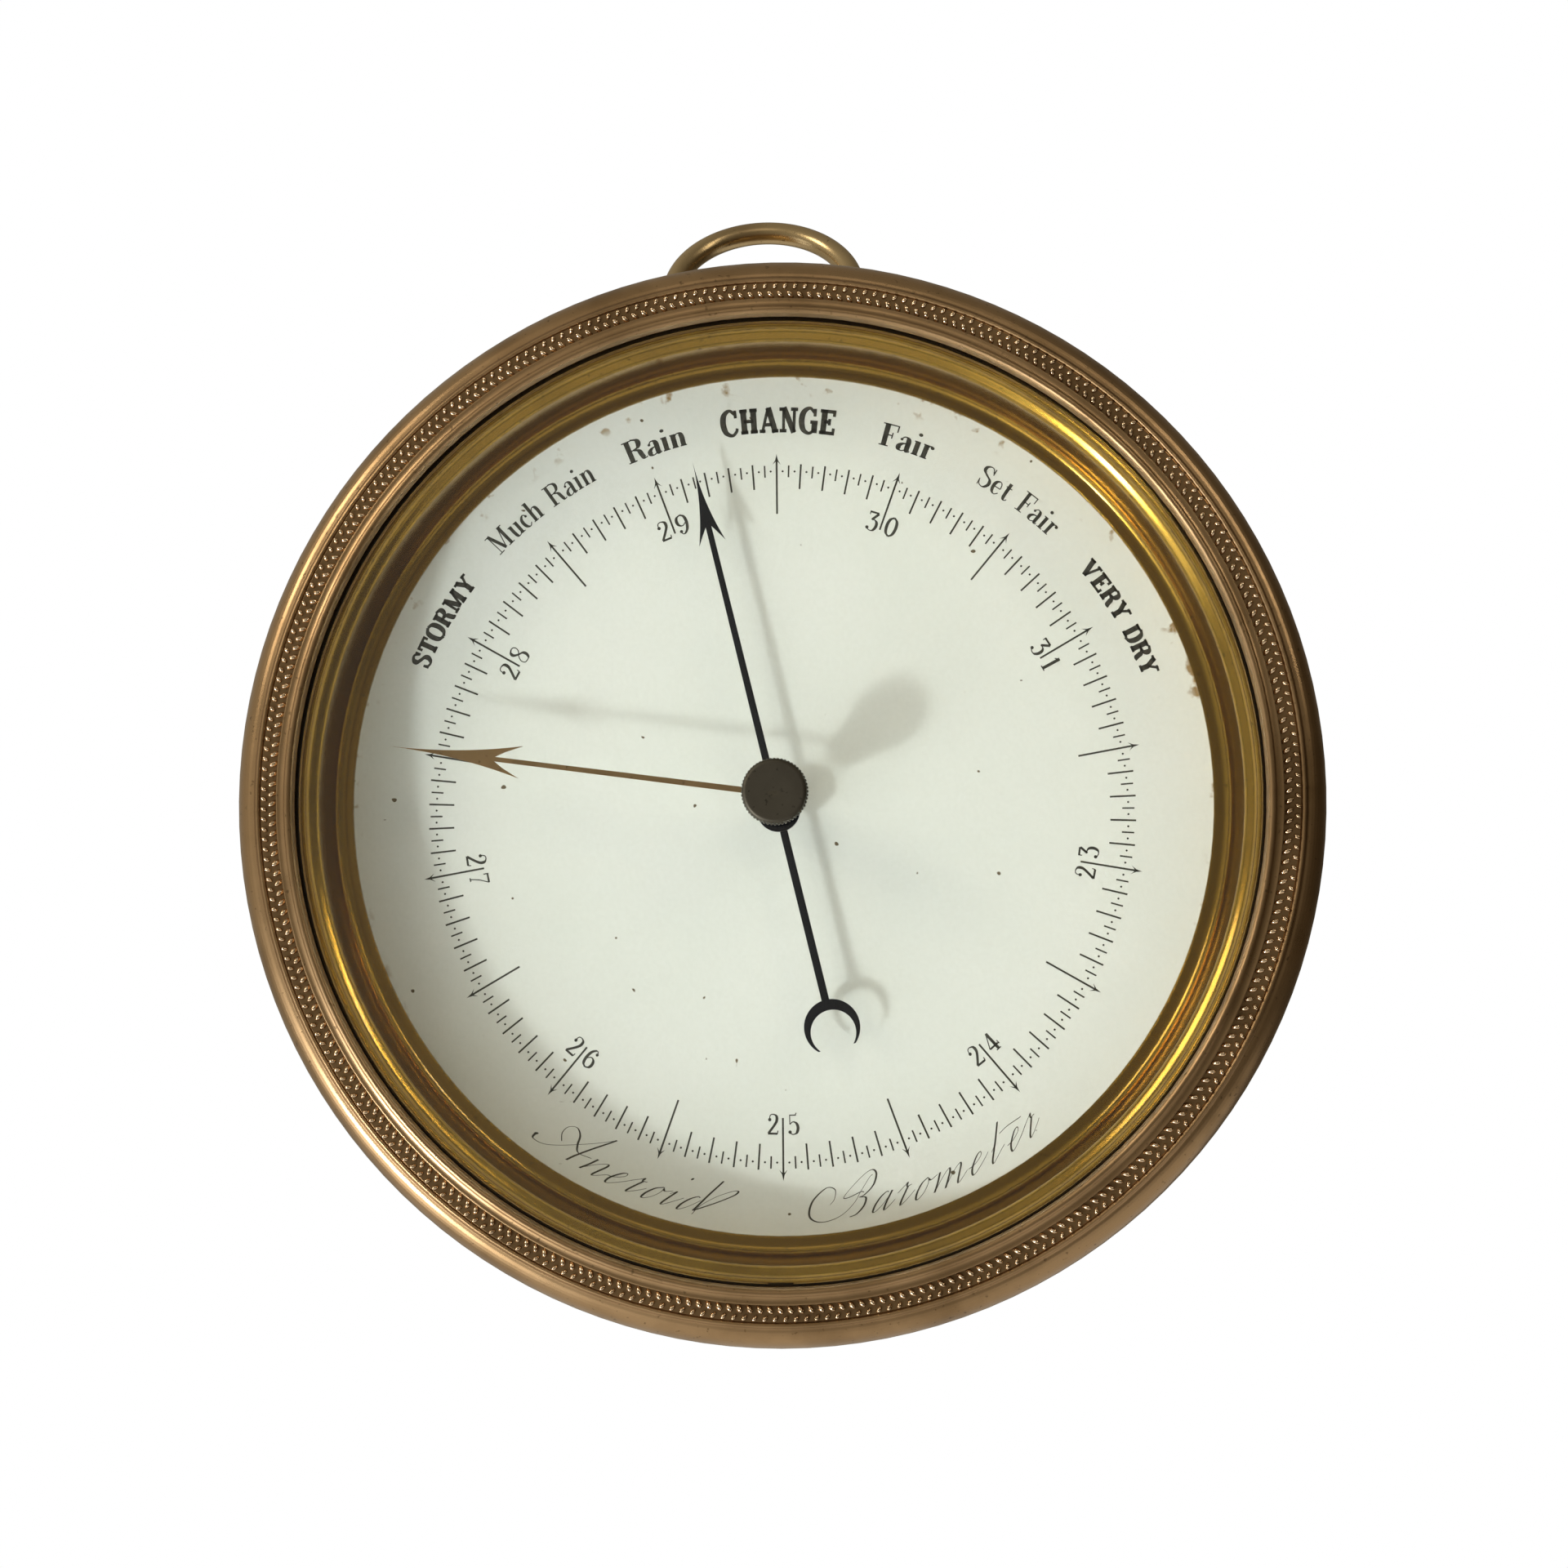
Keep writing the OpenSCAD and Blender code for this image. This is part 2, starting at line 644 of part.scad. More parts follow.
module arbor_pillars() {
    color("goldenrod") in_movement() for (s = [-1, 1]) translate([0, s * arbor_pillar_y, 0]) difference() {
        translate([0, 0, plate_front]) cylinder(r = 2.8, h = lower_plate_d - plate_front, $fn = small_fn);
        translate([0, 0, plate_front - 1]) cylinder(r = 1.2 + fit, h = 5.2, $fn = small_fn);
        translate([0, 0, lower_plate_d - 3.2]) cylinder(r = 1 + fit, h = 4, $fn = small_fn);
    }
}

module arbor_lower_plate() {
    color("goldenrod") in_movement() difference() {
        union() {
            translate([-3.6, -arbor_pillar_y, lower_plate_d]) cube([7.2, 2 * arbor_pillar_y, 1.2]);
            for (s = [-1, 1]) translate([0, s * arbor_pillar_y, lower_plate_d]) cylinder(r = 3.6, h = 1.2, $fn = small_fn);
        }
        cylinder(r = 0.3 + play, h = 40, $fn = small_fn);
        for (s = [-1, 1]) {
            translate([0, s * arbor_pillar_y, 0]) cylinder(r = 1 + fit, h = 40, $fn = small_fn);
            translate([0, s * spacer_y, 0]) cylinder(r = 0.9 + fit, h = 40, $fn = small_fn);
        }
    }
}

module arbor_frame_spacers() {
    color("goldenrod") in_movement() for (s = [-1, 1]) translate([0, s * spacer_y, 0]) difference() {
        union() {
            translate([0, 0, lower_plate_d]) cylinder(r = 0.9, h = 2, $fn = small_fn);
            translate([0, 0, lower_plate_d + 1.2]) cylinder(r = 1.8, h = top_plate_d - lower_plate_d - 1.2, $fn = small_fn);
        }
        translate([0, 0, top_plate_d - 3.4]) cylinder(r = 1 + fit, h = 4, $fn = small_fn);
    }
}

module arbor_top_plate() {
    color("goldenrod") in_movement() difference() {
        union() {
            translate([-3.2, -spacer_y, top_plate_d]) cube([6.4, 2 * spacer_y, 1.2]);
            for (s = [-1, 1]) translate([0, s * spacer_y, top_plate_d]) cylinder(r = 3.2, h = 1.2, $fn = small_fn);
            translate([0, -1.8, top_plate_d]) cube([10.5, 3.6, 1.2]);
        }
        cylinder(r = 0.6 + play, h = 40, $fn = small_fn);
        for (s = [-1, 1]) translate([0, s * spacer_y, 0]) cylinder(r = 1 + fit, h = 40, $fn = small_fn);
    }
}

module arbor_frame_screws() {
    color("steelblue") in_movement() for (s = [-1, 1]) {
        translate([0, s * arbor_pillar_y, 0]) cheese_screw(lower_plate_d + 1.2, 1, 4.2, 2, 1.2);
        translate([0, s * spacer_y, 0]) cheese_screw(top_plate_d + 1.2, 1, 4.2, 2, 1.2);
    }
}

// ---- Hands ----

// One edge of a barbed arrowhead with its needle point at the origin, pointing up. It
// curves out to half at its barb, length behind the point.
function arrow_edge(length, half, neck, side) =
    [for (i = [1:10]) let (t = i / 10) [side * (neck * t / 2 + (half - neck / 2) * pow(t, 2.1)), -length * t]];

// A hand from its axis up to its point: a shaft that tapers to half-width neck, and an
// arrowhead of length head whose barbs sweep back past the end of the shaft.
module hand_blade(length, head, half, neck) {
    tip = [0, length];
    notch = length - head * 0.8;
    sweep = [half / 2, length - head * 0.87];
    right = [for (p = arrow_edge(head, half, neck, 1)) tip + p];
    left = [for (p = arrow_edge(head, half, neck, -1)) tip + p];
    polygon(concat(
        [[neck * 1.3, 0], [neck, notch], sweep],
        [for (i = [9:-1:0]) right[i]],
        [tip],
        left,
        [[-sweep[0], sweep[1]], [-neck, notch], [-neck * 1.3, 0]]
    ));
}

// A crescent with its horns away from the axis, on the end of the pointer's tail.
module crescent() {
    outer = 3.4;
    inner = 2.75;
    offset_out = 0.65;
    difference() {
        circle(r = outer, $fn = 48);
        translate([0, -offset_out]) circle(r = inner, $fn = 48);
        translate([-outer, -outer - 2.2]) square([2 * outer, 3.1]);
    }
}

module pointer() {
    t = 0.35;
    neck = 0.36;
    head = 10.3;
    color("midnightblue") in_movement() translate([0, 0, pointer_d]) rotate(pointer_angle) difference() {
        linear_extrude(t) union() {
            hand_blade(pointer_len, head, 1.65, neck);
            translate([-neck * 1.3, -crescent_at + 3]) square([neck * 2.6, crescent_at - 2]);
            translate([0, -crescent_at]) crescent();
            circle(r = 2, $fn = 48);
        }
        translate([0, 0, -1]) cylinder(r = 1.2 + fit, h = 3, $fn = small_fn);
    }
}

module pointer_hub() {
    color("midnightblue") in_movement() difference() {
        union() {
            translate([0, 0, pointer_d + 0.35]) cylinder(r = 2.64, h = 0.9, $fn = 48);
            translate([0, 0, pointer_d - 0.9]) cylinder(r = 1.6, h = 0.9, $fn = 48);
            translate([0, 0, pointer_d - 0.5]) cylinder(r = 1.2, h = 1.5, $fn = 48);
        }
        cylinder(r = 0.6 + fit, h = 60, $fn = small_fn);
    }
}

module set_hand() {
    t = 0.3;
    neck = 0.28;
    head = 15.9;
    color("peru") upright() translate([0, 0, set_hand_d]) rotate(set_hand_angle) difference() {
        linear_extrude(t) union() {
            hand_blade(set_hand_len, head, 1.95, neck);
            circle(r = 2, $fn = 48);
        }
        translate([0, 0, -1]) cylinder(r = 1.1 + fit, h = 3, $fn = small_fn);
    }
}

module set_hand_hub() {
    color("peru") upright() difference() {
        translate([0, 0, set_hand_d - 0.9]) cylinder(r = 2.2, h = 0.9, $fn = 48);
        cylinder(r = 1.1 + fit, h = 60, $fn = small_fn);
    }
}

module set_hand_arbor() {
    color("peru") upright() translate([0, 0, set_hand_d - 1])
        cylinder(r = 1.1, h = glass_front + 2.6 - set_hand_d, $fn = small_fn);
}

module set_hand_spring_washer() {
    back = set_hand_d + 0.3;
    color("silver") upright() turned([
        [1.15, back], [1.45, back], [2.6, glass_back - 0.2], [2.6, glass_back - 0.05],
        [2.3, glass_back - 0.05], [1.15, back + 0.2]
    ], 48);
}

module set_knob_washer() {
    color("saddlebrown") upright() turned([
        [1.12, glass_front + 0.05], [3, glass_front + 0.05], [3, glass_front + 0.35], [1.12, glass_front + 0.35]
    ], 48);
}

module set_knob() {
    back = glass_front + 0.35;
    top = back + 2.9;
    color("darkslategray") upright() difference() {
        turned(concat(
            [[0, back], [2.2, back], [2.4, back + 0.3], [knob_r - 0.3, back + 0.5], [knob_r, back + 0.8]],
            arc([knob_r - 0.45, top - 0.45], 0.45, 0.45, 0, 90, 5),
            [[0, top - 0.06]]
        ), 64);
        cylinder(r = 1.1 + fit, h = glass_front + 1.7, $fn = small_fn);
    }
}

// ---- Hanging ring ----

module ring_stud() {
    eye_r = 3.3;
    shank = 1.7;
    color("goldenrod") upright() translate([-ring_left, 0, ring_depth]) difference() {
        union() {
            difference() {
                bar_y([0, case_r + 0.2, 0], 3.6, 1.4);
                translate([ring_left, 0, -10]) cylinder(r = case_r + fit, h = 20, $fn = round_fn);
            }
            bar_x([0, ring_eye, 0], eye_r, 2.4);
            bar_y([0, case_r - 1.8, 0], shank, 5);
        }
        bar_x([0, ring_eye, 0], 1.9, 6);
    }
}

module ring_stud_nut() {
    color("goldenrod") upright() translate([-ring_left, case_r - case_wall - 1.35, ring_depth]) rotate([90, 0, 0])
        difference() {
            cylinder(r = 3.2, h = 2.2, center = true, $fn = 6);
            cylinder(r = 1.7 + fit, h = 4, center = true, $fn = small_fn);
        }
}

module hanging_ring() {
    color("peru") upright() translate([-ring_left, ring_eye, ring_depth]) rotate([-ring_lean, 0, 0])
        rotate(ring_roll) translate([0, ring_r, 0])
            rotate_extrude($fn = round_fn) translate([ring_r, 0]) circle(r = ring_wire, $fn = small_fn);
}

case_drum();
bezel();
bezel_glass();
glass_retaining_ring();
reflector_ring();
dial_plate();
dial_feet();
dial_foot_screws();
dial_pillars();
base_plate();
base_plate_screws();
frame_screws();
capsule_base_stud();
capsule_back_diaphragm();
capsule_front_diaphragm();
capsule_rim_band();
capsule_seal_tip();
capsule_pillar();
hook_pin();
spring_bridge();
mainspring();
spring_clamp_plate();
spring_clamp_screws();
lever_arm();
lever_screws();
link_rod();
link_pins();
rocking_shaft();
crank_arm();
chain_arm();
shaft_brackets();
chain();
arbor();
chain_drum();
hairspring_collet();
hairspring();
hairspring_stud();
arbor_pillars();
arbor_lower_plate();
arbor_frame_spacers();
arbor_top_plate();
arbor_frame_screws();
pointer();
pointer_hub();
set_hand();
set_hand_hub();
set_hand_arbor();
set_hand_spring_washer();
set_knob_washer();
set_knob();
adjusting_screw();
ring_stud();
ring_stud_nut();
hanging_ring();
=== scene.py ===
"""Visual model of a wall-hung aneroid barometer, built round its CAD frame.

The CAD nodes keep their shapes and get their materials here. Added as geometry are the
milled band of the bezel, the milling of the set knob, the links of the chain, and
everything printed on the dial: scale, figures, weather words and the legend. All lengths
are metres in the row frame: the dial faces -Y, +Z is up and +X is right. On the dial,
angles are clockwise from twelve, in degrees.
"""

import json
import math
from collections import namedtuple

import bmesh
import bpy
from mathutils import Matrix, Vector


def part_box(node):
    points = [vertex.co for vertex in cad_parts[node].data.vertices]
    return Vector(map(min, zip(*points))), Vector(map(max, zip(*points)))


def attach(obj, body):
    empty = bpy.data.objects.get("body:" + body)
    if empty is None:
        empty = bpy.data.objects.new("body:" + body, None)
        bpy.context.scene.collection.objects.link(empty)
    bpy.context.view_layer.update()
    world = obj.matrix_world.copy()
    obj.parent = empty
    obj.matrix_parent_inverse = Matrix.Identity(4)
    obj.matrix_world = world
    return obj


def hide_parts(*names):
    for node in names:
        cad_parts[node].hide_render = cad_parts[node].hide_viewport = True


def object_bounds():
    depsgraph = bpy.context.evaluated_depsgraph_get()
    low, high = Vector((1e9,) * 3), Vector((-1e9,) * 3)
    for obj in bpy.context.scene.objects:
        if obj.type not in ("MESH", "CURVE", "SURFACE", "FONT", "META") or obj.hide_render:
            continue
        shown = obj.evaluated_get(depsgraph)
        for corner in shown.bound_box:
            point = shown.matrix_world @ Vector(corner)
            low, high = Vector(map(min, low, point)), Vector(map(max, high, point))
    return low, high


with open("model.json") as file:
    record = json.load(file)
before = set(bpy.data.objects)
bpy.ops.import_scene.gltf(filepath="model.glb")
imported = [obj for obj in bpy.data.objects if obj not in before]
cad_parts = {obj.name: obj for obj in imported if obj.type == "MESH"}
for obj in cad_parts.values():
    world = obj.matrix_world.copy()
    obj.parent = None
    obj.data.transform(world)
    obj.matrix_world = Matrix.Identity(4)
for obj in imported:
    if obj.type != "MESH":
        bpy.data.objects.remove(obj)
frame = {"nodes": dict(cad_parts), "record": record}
cad_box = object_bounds()

MM = 0.001
joints = {joint["name"]: joint for joint in frame["record"]["behaviour"]["joints"]}
pivot = Vector(joints["pointer_turn"]["pos_m"])
dial_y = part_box("dial_plate")[0].y
dial_centre = Vector((pivot.x, dial_y, pivot.z))


# ---- Node trees ----


class Shader:
    """One material's node tree. A value may be a socket, a number, a colour or a vector."""

    def __init__(self, name):
        self.material = bpy.data.materials.new(name)
        self.material.use_nodes = True
        self.nodes = self.material.node_tree.nodes
        self.links = self.material.node_tree.links
        self.bsdf = self.nodes["Principled BSDF"]

    def feed(self, socket, value):
        if isinstance(value, bpy.types.NodeSocket):
            self.links.new(value, socket)
        else:
            socket.default_value = value

    def make(self, kind, inputs=None, **settings):
        """A node with these settings and inputs, {name or index: value}."""
        made = self.nodes.new("ShaderNode" + kind)
        for name, value in settings.items():
            setattr(made, name, value)
        for name, value in (inputs or {}).items():
            self.feed(made.inputs[name], value)
        return made

    def here(self):
        """The point on the object at rest, in metres."""
        return self.make("TexCoord").outputs["Object"]

    def vector(self, operation, a, b=(0, 0, 0)):
        return self.make("VectorMath", {0: a, 1: b}, operation=operation).outputs[0]

    def math(self, operation, a, b=0.0):
        return self.make("Math", {0: a, 1: b}, operation=operation).outputs[0]

    def radius(self, centre):
        """Distance from the line through centre that runs straight out of the dial."""
        flat = self.vector("MULTIPLY", self.vector("SUBTRACT", self.here(), centre), (1, 0, 1))
        return self.make("VectorMath", {0: flat}, operation="LENGTH").outputs["Value"]

    def turning(self, centre):
        """A vector that is constant along the lines that a lathe tool leaves."""
        depth = self.make("SeparateXYZ", {0: self.here()}).outputs["Y"]
        return self.make("CombineXYZ", {"X": self.radius(centre), "Y": depth}).outputs[0]

    def noise(self, vector, scale, detail=3.0):
        return self.make("TexNoise", {"Vector": vector, "Scale": scale, "Detail": detail}).outputs["Fac"]

    def between(self, value, low, high, at_low=0.0, at_high=1.0):
        """Value mapped from low..high to at_low..at_high, and held there beyond them."""
        inputs = {"Value": value, "From Min": low, "From Max": high, "To Min": at_low, "To Max": at_high}
        return self.make("MapRange", inputs).outputs["Result"]

    def mix(self, share, a, b):
        """Colour a where share is 0, and b where it is 1."""
        # Of this node, inputs 6 and 7 and output 2 are the ones for colours.
        return self.make("Mix", {0: share, 6: a, 7: b}, data_type="RGBA").outputs[2]

    def rounded(self, radius):
        """The normal, with edges rounded off to this radius."""
        return self.make("Bevel", {"Radius": radius}, samples=4).outputs["Normal"]

    def bump(self, height, distance, normal=None):
        """A normal that shows height, 0 to 1, as relief of this depth."""
        made = self.make("Bump", {"Height": height, "Distance": distance})
        if normal is not None:
            self.feed(made.inputs["Normal"], normal)
        return made.outputs["Normal"]

    def surface(self, **inputs):
        """Sets the Principled shader's inputs and returns the material."""
        for name, value in inputs.items():
            self.feed(self.bsdf.inputs[name.replace("_", " ")], value)
        return self.material


def rgb(red, green, blue):
    return (red, green, blue, 1.0)


# ---- Materials ----


def darker(colour, share):
    return rgb(*[c * share for c in colour])


def metal(
    name,
    colour,
    tarnish,
    roughness,
    tarnished=0.5,
    edge=0.15 * MM,
    turned=None,
    hollow_shade=0.0,
    lacquer=0.0,
):
    """Worked metal: tarnish in cloudy patches, fine marks of the tool or of polishing, small
    pits, and edges that are rounded off and rubbed bright. Lathe marks run round turned, the
    foot of an axis, where it is given. hollow_shade is the weight of painted shade that darkens
    the hollows, and lacquer is the weight of a clear coat."""
    s = Shader(name)
    here = s.here()
    cloud = s.noise(here, 90, 5)
    patches = s.between(cloud, 0.62 - 0.25 * tarnished, 0.95 - 0.25 * tarnished)
    body = s.mix(patches, rgb(*colour), rgb(*tarnish))
    pits = s.between(s.noise(here, 1500, 2), 0.66, 0.74)
    body = s.mix(s.math("MULTIPLY", pits, 0.5), body, darker(tarnish, 0.35))
    # Painted shade: the base colour is darkened in the hollows that ambient occlusion finds.
    if hollow_shade:
        shade = s.make("AmbientOcclusion", {"Distance": 0.4 * MM}, samples=6).outputs["AO"]
        body = s.mix(s.between(shade, 0.25, 0.85, hollow_shade, 0.0), body, darker(tarnish, 0.12))
    if turned is None:
        lines = s.noise(s.vector("MULTIPLY", here, (1, 0.15, 0.4)), 2600, 2)
    else:
        lines = s.noise(s.turning(turned), 5200, 2)
    rough = s.between(cloud, 0.3, 0.7, roughness * 0.8, roughness * 1.25)
    rough = s.math("ADD", rough, s.math("MULTIPLY", lines, 0.06))
    soft = s.rounded(edge)
    sharp = s.make("NewGeometry").outputs["Normal"]
    meet = s.make("VectorMath", {0: soft, 1: sharp}, operation="DOT_PRODUCT").outputs["Value"]
    rubbed = s.between(meet, 0.97, 0.80, 0.0, 0.55)
    body = s.mix(rubbed, body, rgb(*[min(1, c * 1.25) for c in colour]))
    relief = s.bump(s.math("ADD", lines, s.math("MULTIPLY", pits, -0.8)), 0.004 * MM, soft)
    return s.surface(
        Base_Color=body,
        Metallic=1.0,
        Roughness=rough,
        Normal=relief,
        Coat_Weight=lacquer,
        Coat_Roughness=0.08,
    )


def dial_paint():
    """Silvery white paint with a faint mottle, tiny dark specks, and chips and brown stains
    where the reflector ring bears on the edge."""
    s = Shader("dial_paint")
    here = s.here()
    mottle = s.noise(here, 60, 4)
    body = s.mix(mottle, rgb(0.715, 0.74, 0.70), rgb(0.78, 0.79, 0.765))
    grain = s.noise(here, 2600, 2)
    body = s.mix(s.between(grain, 0.35, 0.65, 0.0, 0.10), body, rgb(0.52, 0.53, 0.46))
    speck = s.between(s.noise(here, 800, 0), 0.845, 0.86)
    body = s.mix(speck, body, rgb(0.12, 0.09, 0.05))
    out = s.radius(dial_centre)
    flakes = s.between(s.noise(here, 420, 4), 0.60, 0.68)
    worn = s.math("MULTIPLY", s.between(out, 51.9 * MM, 53.3 * MM), flakes)
    body = s.mix(worn, body, rgb(0.30, 0.20, 0.09))
    relief = s.bump(s.math("SUBTRACT", grain, worn), 0.006 * MM)
    rough = s.between(mottle, 0.3, 0.7, 0.42, 0.55)
    return s.surface(Base_Color=body, Roughness=rough, Normal=relief, Specular_IOR_Level=0.3)


def printing_ink(name, colour):
    """Ink, a little uneven in its blackness, as pressed from an engraved plate."""
    s = Shader(name)
    uneven = s.between(s.noise(s.here(), 1800, 3), 0.35, 0.75)
    body = s.mix(uneven, rgb(*colour), rgb(*[c * 3 + 0.02 for c in colour]))
    relief = s.bump(uneven, 0.003 * MM)
    return s.surface(Base_Color=body, Roughness=s.between(uneven, 0, 1, 0.5, 0.7), Normal=relief)


def pane_glass():
    """Clear glass with faint smears. Lamps shine straight through it."""
    s = Shader("pane_glass")
    smears = s.noise(s.vector("MULTIPLY", s.here(), (1, 1, 0.4)), 55, 5)
    s.surface(
        Base_Color=rgb(0.97, 0.985, 0.97),
        Roughness=s.between(smears, 0.45, 0.75, 0.0, 0.05),
        IOR=1.45,
        Transmission_Weight=1.0,
    )
    lamp_ray = s.make("LightPath").outputs["Is Shadow Ray"]
    clear = s.make("BsdfTransparent", {"Color": rgb(0.96, 0.97, 0.95)})
    pane = s.make("MixShader", {0: lamp_ray, 1: s.bsdf.outputs[0], 2: clear.outputs[0]})
    s.feed(s.nodes["Material Output"].inputs["Surface"], pane.outputs[0])
    return s.material


def washer_leather():
    s = Shader("washer_leather")
    cells = s.make("TexVoronoi", {"Vector": s.here(), "Scale": 2600.0}).outputs["Distance"]
    body = s.mix(s.noise(s.here(), 500, 4), rgb(0.16, 0.09, 0.05), rgb(0.30, 0.19, 0.11))
    rough = s.between(cells, 0, 1, 0.6, 0.85)
    return s.surface(Base_Color=body, Roughness=rough, Normal=s.bump(cells, 0.03 * MM))


def black_lacquer():
    """A rough casting under black lacquer, chipped at its edges."""
    s = Shader("black_lacquer")
    sand = s.noise(s.here(), 1400, 4)
    bare = s.between(s.noise(s.here(), 260, 5), 0.68, 0.72)
    body = s.mix(bare, rgb(0.015, 0.016, 0.014), rgb(0.10, 0.06, 0.04))
    rough = s.between(sand, 0.3, 0.7, 0.3, 0.5)
    relief = s.bump(sand, 0.05 * MM, s.rounded(0.3 * MM))
    return s.surface(Base_Color=body, Roughness=rough, Normal=relief)


case_axis = Vector((0, 0, 0))
METALS = {
    "bezel_bronze": dict(
        colour=(0.45, 0.285, 0.145),
        tarnish=(0.21, 0.125, 0.055),
        roughness=0.27,
        tarnished=0.55,
        edge=0.2 * MM,
        turned=case_axis,
    ),
    "bezel_milling": dict(
        colour=(0.80, 0.60, 0.40),
        tarnish=(0.34, 0.21, 0.11),
        roughness=0.13,
        tarnished=0.35,
        edge=0.05 * MM,
        # Painted shade in the hollows between the beads.
        hollow_shade=1.0,
    ),
    # Painted shade: a darker brass for the seat between the beads of the milled band.
    "bezel_seat_shade": dict(
        colour=(0.30, 0.185, 0.09),
        tarnish=(0.12, 0.07, 0.03),
        roughness=0.32,
        edge=0.05 * MM,
    ),
    "case_brass": dict(
        colour=(0.62, 0.44, 0.20),
        tarnish=(0.30, 0.19, 0.08),
        roughness=0.30,
        edge=0.2 * MM,
        turned=case_axis,
    ),
    "gilt_brass": dict(
        colour=(0.37, 0.21, 0.026),
        tarnish=(0.23, 0.125, 0.013),
        roughness=0.12,
        tarnished=0.3,
        edge=0.4 * MM,
        turned=case_axis,
        lacquer=0.3,
    ),
    "movement_brass": dict(
        colour=(0.74, 0.56, 0.25),
        tarnish=(0.42, 0.29, 0.11),
        roughness=0.28,
        tarnished=0.3,
    ),
    "blued_steel": dict(
        colour=(0.018, 0.020, 0.030),
        tarnish=(0.030, 0.022, 0.020),
        roughness=0.30,
        tarnished=0.4,
        edge=0.05 * MM,
    ),
    "steel": dict(
        colour=(0.55, 0.55, 0.54),
        tarnish=(0.26, 0.22, 0.18),
        roughness=0.25,
        tarnished=0.25,
    ),
    "spring_steel": dict(
        colour=(0.30, 0.31, 0.34),
        tarnish=(0.14, 0.11, 0.09),
        roughness=0.30,
        tarnished=0.3,
    ),
    "capsule_metal": dict(
        colour=(0.62, 0.61, 0.55),
        tarnish=(0.38, 0.34, 0.26),
        roughness=0.30,
        tarnished=0.4,
        edge=0.2 * MM,
        turned=dial_centre,
    ),
    "copper": dict(
        colour=(0.70, 0.33, 0.20),
        tarnish=(0.25, 0.12, 0.07),
        roughness=0.35,
        tarnished=0.6,
    ),
    "hand_brass": dict(
        colour=(0.30, 0.185, 0.085),
        tarnish=(0.13, 0.075, 0.035),
        roughness=0.34,
        tarnished=0.55,
        edge=0.05 * MM,
    ),
    "knob_bronze": dict(
        colour=(0.105, 0.093, 0.072),
        tarnish=(0.045, 0.038, 0.028),
        roughness=0.45,
        turned=case_axis,
    ),
    "ring_brass": dict(
        colour=(0.58, 0.42, 0.22),
        tarnish=(0.26, 0.16, 0.07),
        roughness=0.26,
        tarnished=0.6,
        edge=0.1 * MM,
    ),
}
# The finish of each material slot of the record, and of the pieces added here.
FINISHES = {name: metal(name, **look) for name, look in METALS.items()}
FINISHES["dial_white"] = dial_paint()
FINISHES["glass"] = pane_glass()
FINISHES["cast_iron"] = black_lacquer()
FINISHES["leather"] = washer_leather()
INK = printing_ink("dial_ink", (0.010, 0.009, 0.006))
LEGEND_INK = printing_ink("legend_ink", (0.016, 0.013, 0.009))


def finish_nodes():
    """Gives every CAD node the finish of its material slot."""
    for part in frame["record"]["subparts"]:
        mesh = frame["nodes"][part["node"]].data
        mesh.materials.clear()
        mesh.materials.append(FINISHES[part["material_slot"]])


# ---- Geometry ----


SAME_POINT = 0.0001 * MM


def piece(name, vertices, faces, material, body, smooth=False):
    """A closed mesh of this material that rides on a CAD body."""
    mesh = bpy.data.meshes.new(name)
    mesh.from_pydata(vertices, [], faces)
    shell = bmesh.new()
    shell.from_mesh(mesh)
    bmesh.ops.remove_doubles(shell, verts=shell.verts, dist=SAME_POINT)
    bmesh.ops.recalc_face_normals(shell, faces=shell.faces)
    shell.to_mesh(mesh)
    shell.free()
    mesh.materials.append(material)
    if smooth:
        mesh.shade_smooth()
    made = bpy.data.objects.new(name, mesh)
    bpy.context.collection.objects.link(made)
    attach(made, body)
    return made


def bead(centre, axes, half, rings=4, sides=8):
    """Vertices and faces of an ellipsoid with these axes and half lengths. Its poles lie on the
    last axis."""
    points = [(0, 0, 1)]
    for ring in range(1, rings):
        tilt = math.pi * ring / rings
        wide = math.sin(tilt)
        for side in range(sides):
            turn = math.tau * side / sides
            points.append((wide * math.cos(turn), wide * math.sin(turn), math.cos(tilt)))
    points.append((0, 0, -1))
    vertices = [centre + sum((a * (h * c) for a, h, c in zip(axes, half, p)), Vector()) for p in points]
    last = len(points) - 1
    faces = [(0, 1 + i, 1 + (i + 1) % sides) for i in range(sides)]
    for ring in range(rings - 2):
        base = 1 + ring * sides
        below = base + sides
        for i in range(sides):
            after = (i + 1) % sides
            faces.append((base + i, below + i, below + after, base + after))
    base = last - sides
    faces += [(last, base + (i + 1) % sides, base + i) for i in range(sides)]
    return vertices, faces


def joined(shapes):
    """One list of vertices and one of faces from several such pairs."""
    vertices, faces = [], []
    for points, polygons in shapes:
        start = len(vertices)
        vertices += points
        faces += [tuple(start + i for i in polygon) for polygon in polygons]
    return vertices, faces


def ring_frame(angle):
    """(outward, clockwise, forward) unit vectors at this angle of a ring about the case axis."""
    a = math.radians(angle)
    return Vector((math.sin(a), 0, math.cos(a))), Vector((math.cos(a), 0, -math.sin(a))), Vector((0, -1, 0))


def ring_of(section, count):
    """A closed ring about the case axis with this section of (radius, y) points."""
    size = len(section)
    vertices = []
    for i in range(count):
        out = ring_frame(360 * i / count)[0]
        vertices += [out * radius + Vector((0, y, 0)) for radius, y in section]
    faces = []
    for i in range(count):
        here, after = i * size, (i + 1) % count * size
        faces += [(here + k, here + (k + 1) % size, after + (k + 1) % size, after + k) for k in range(size)]
    return vertices, faces


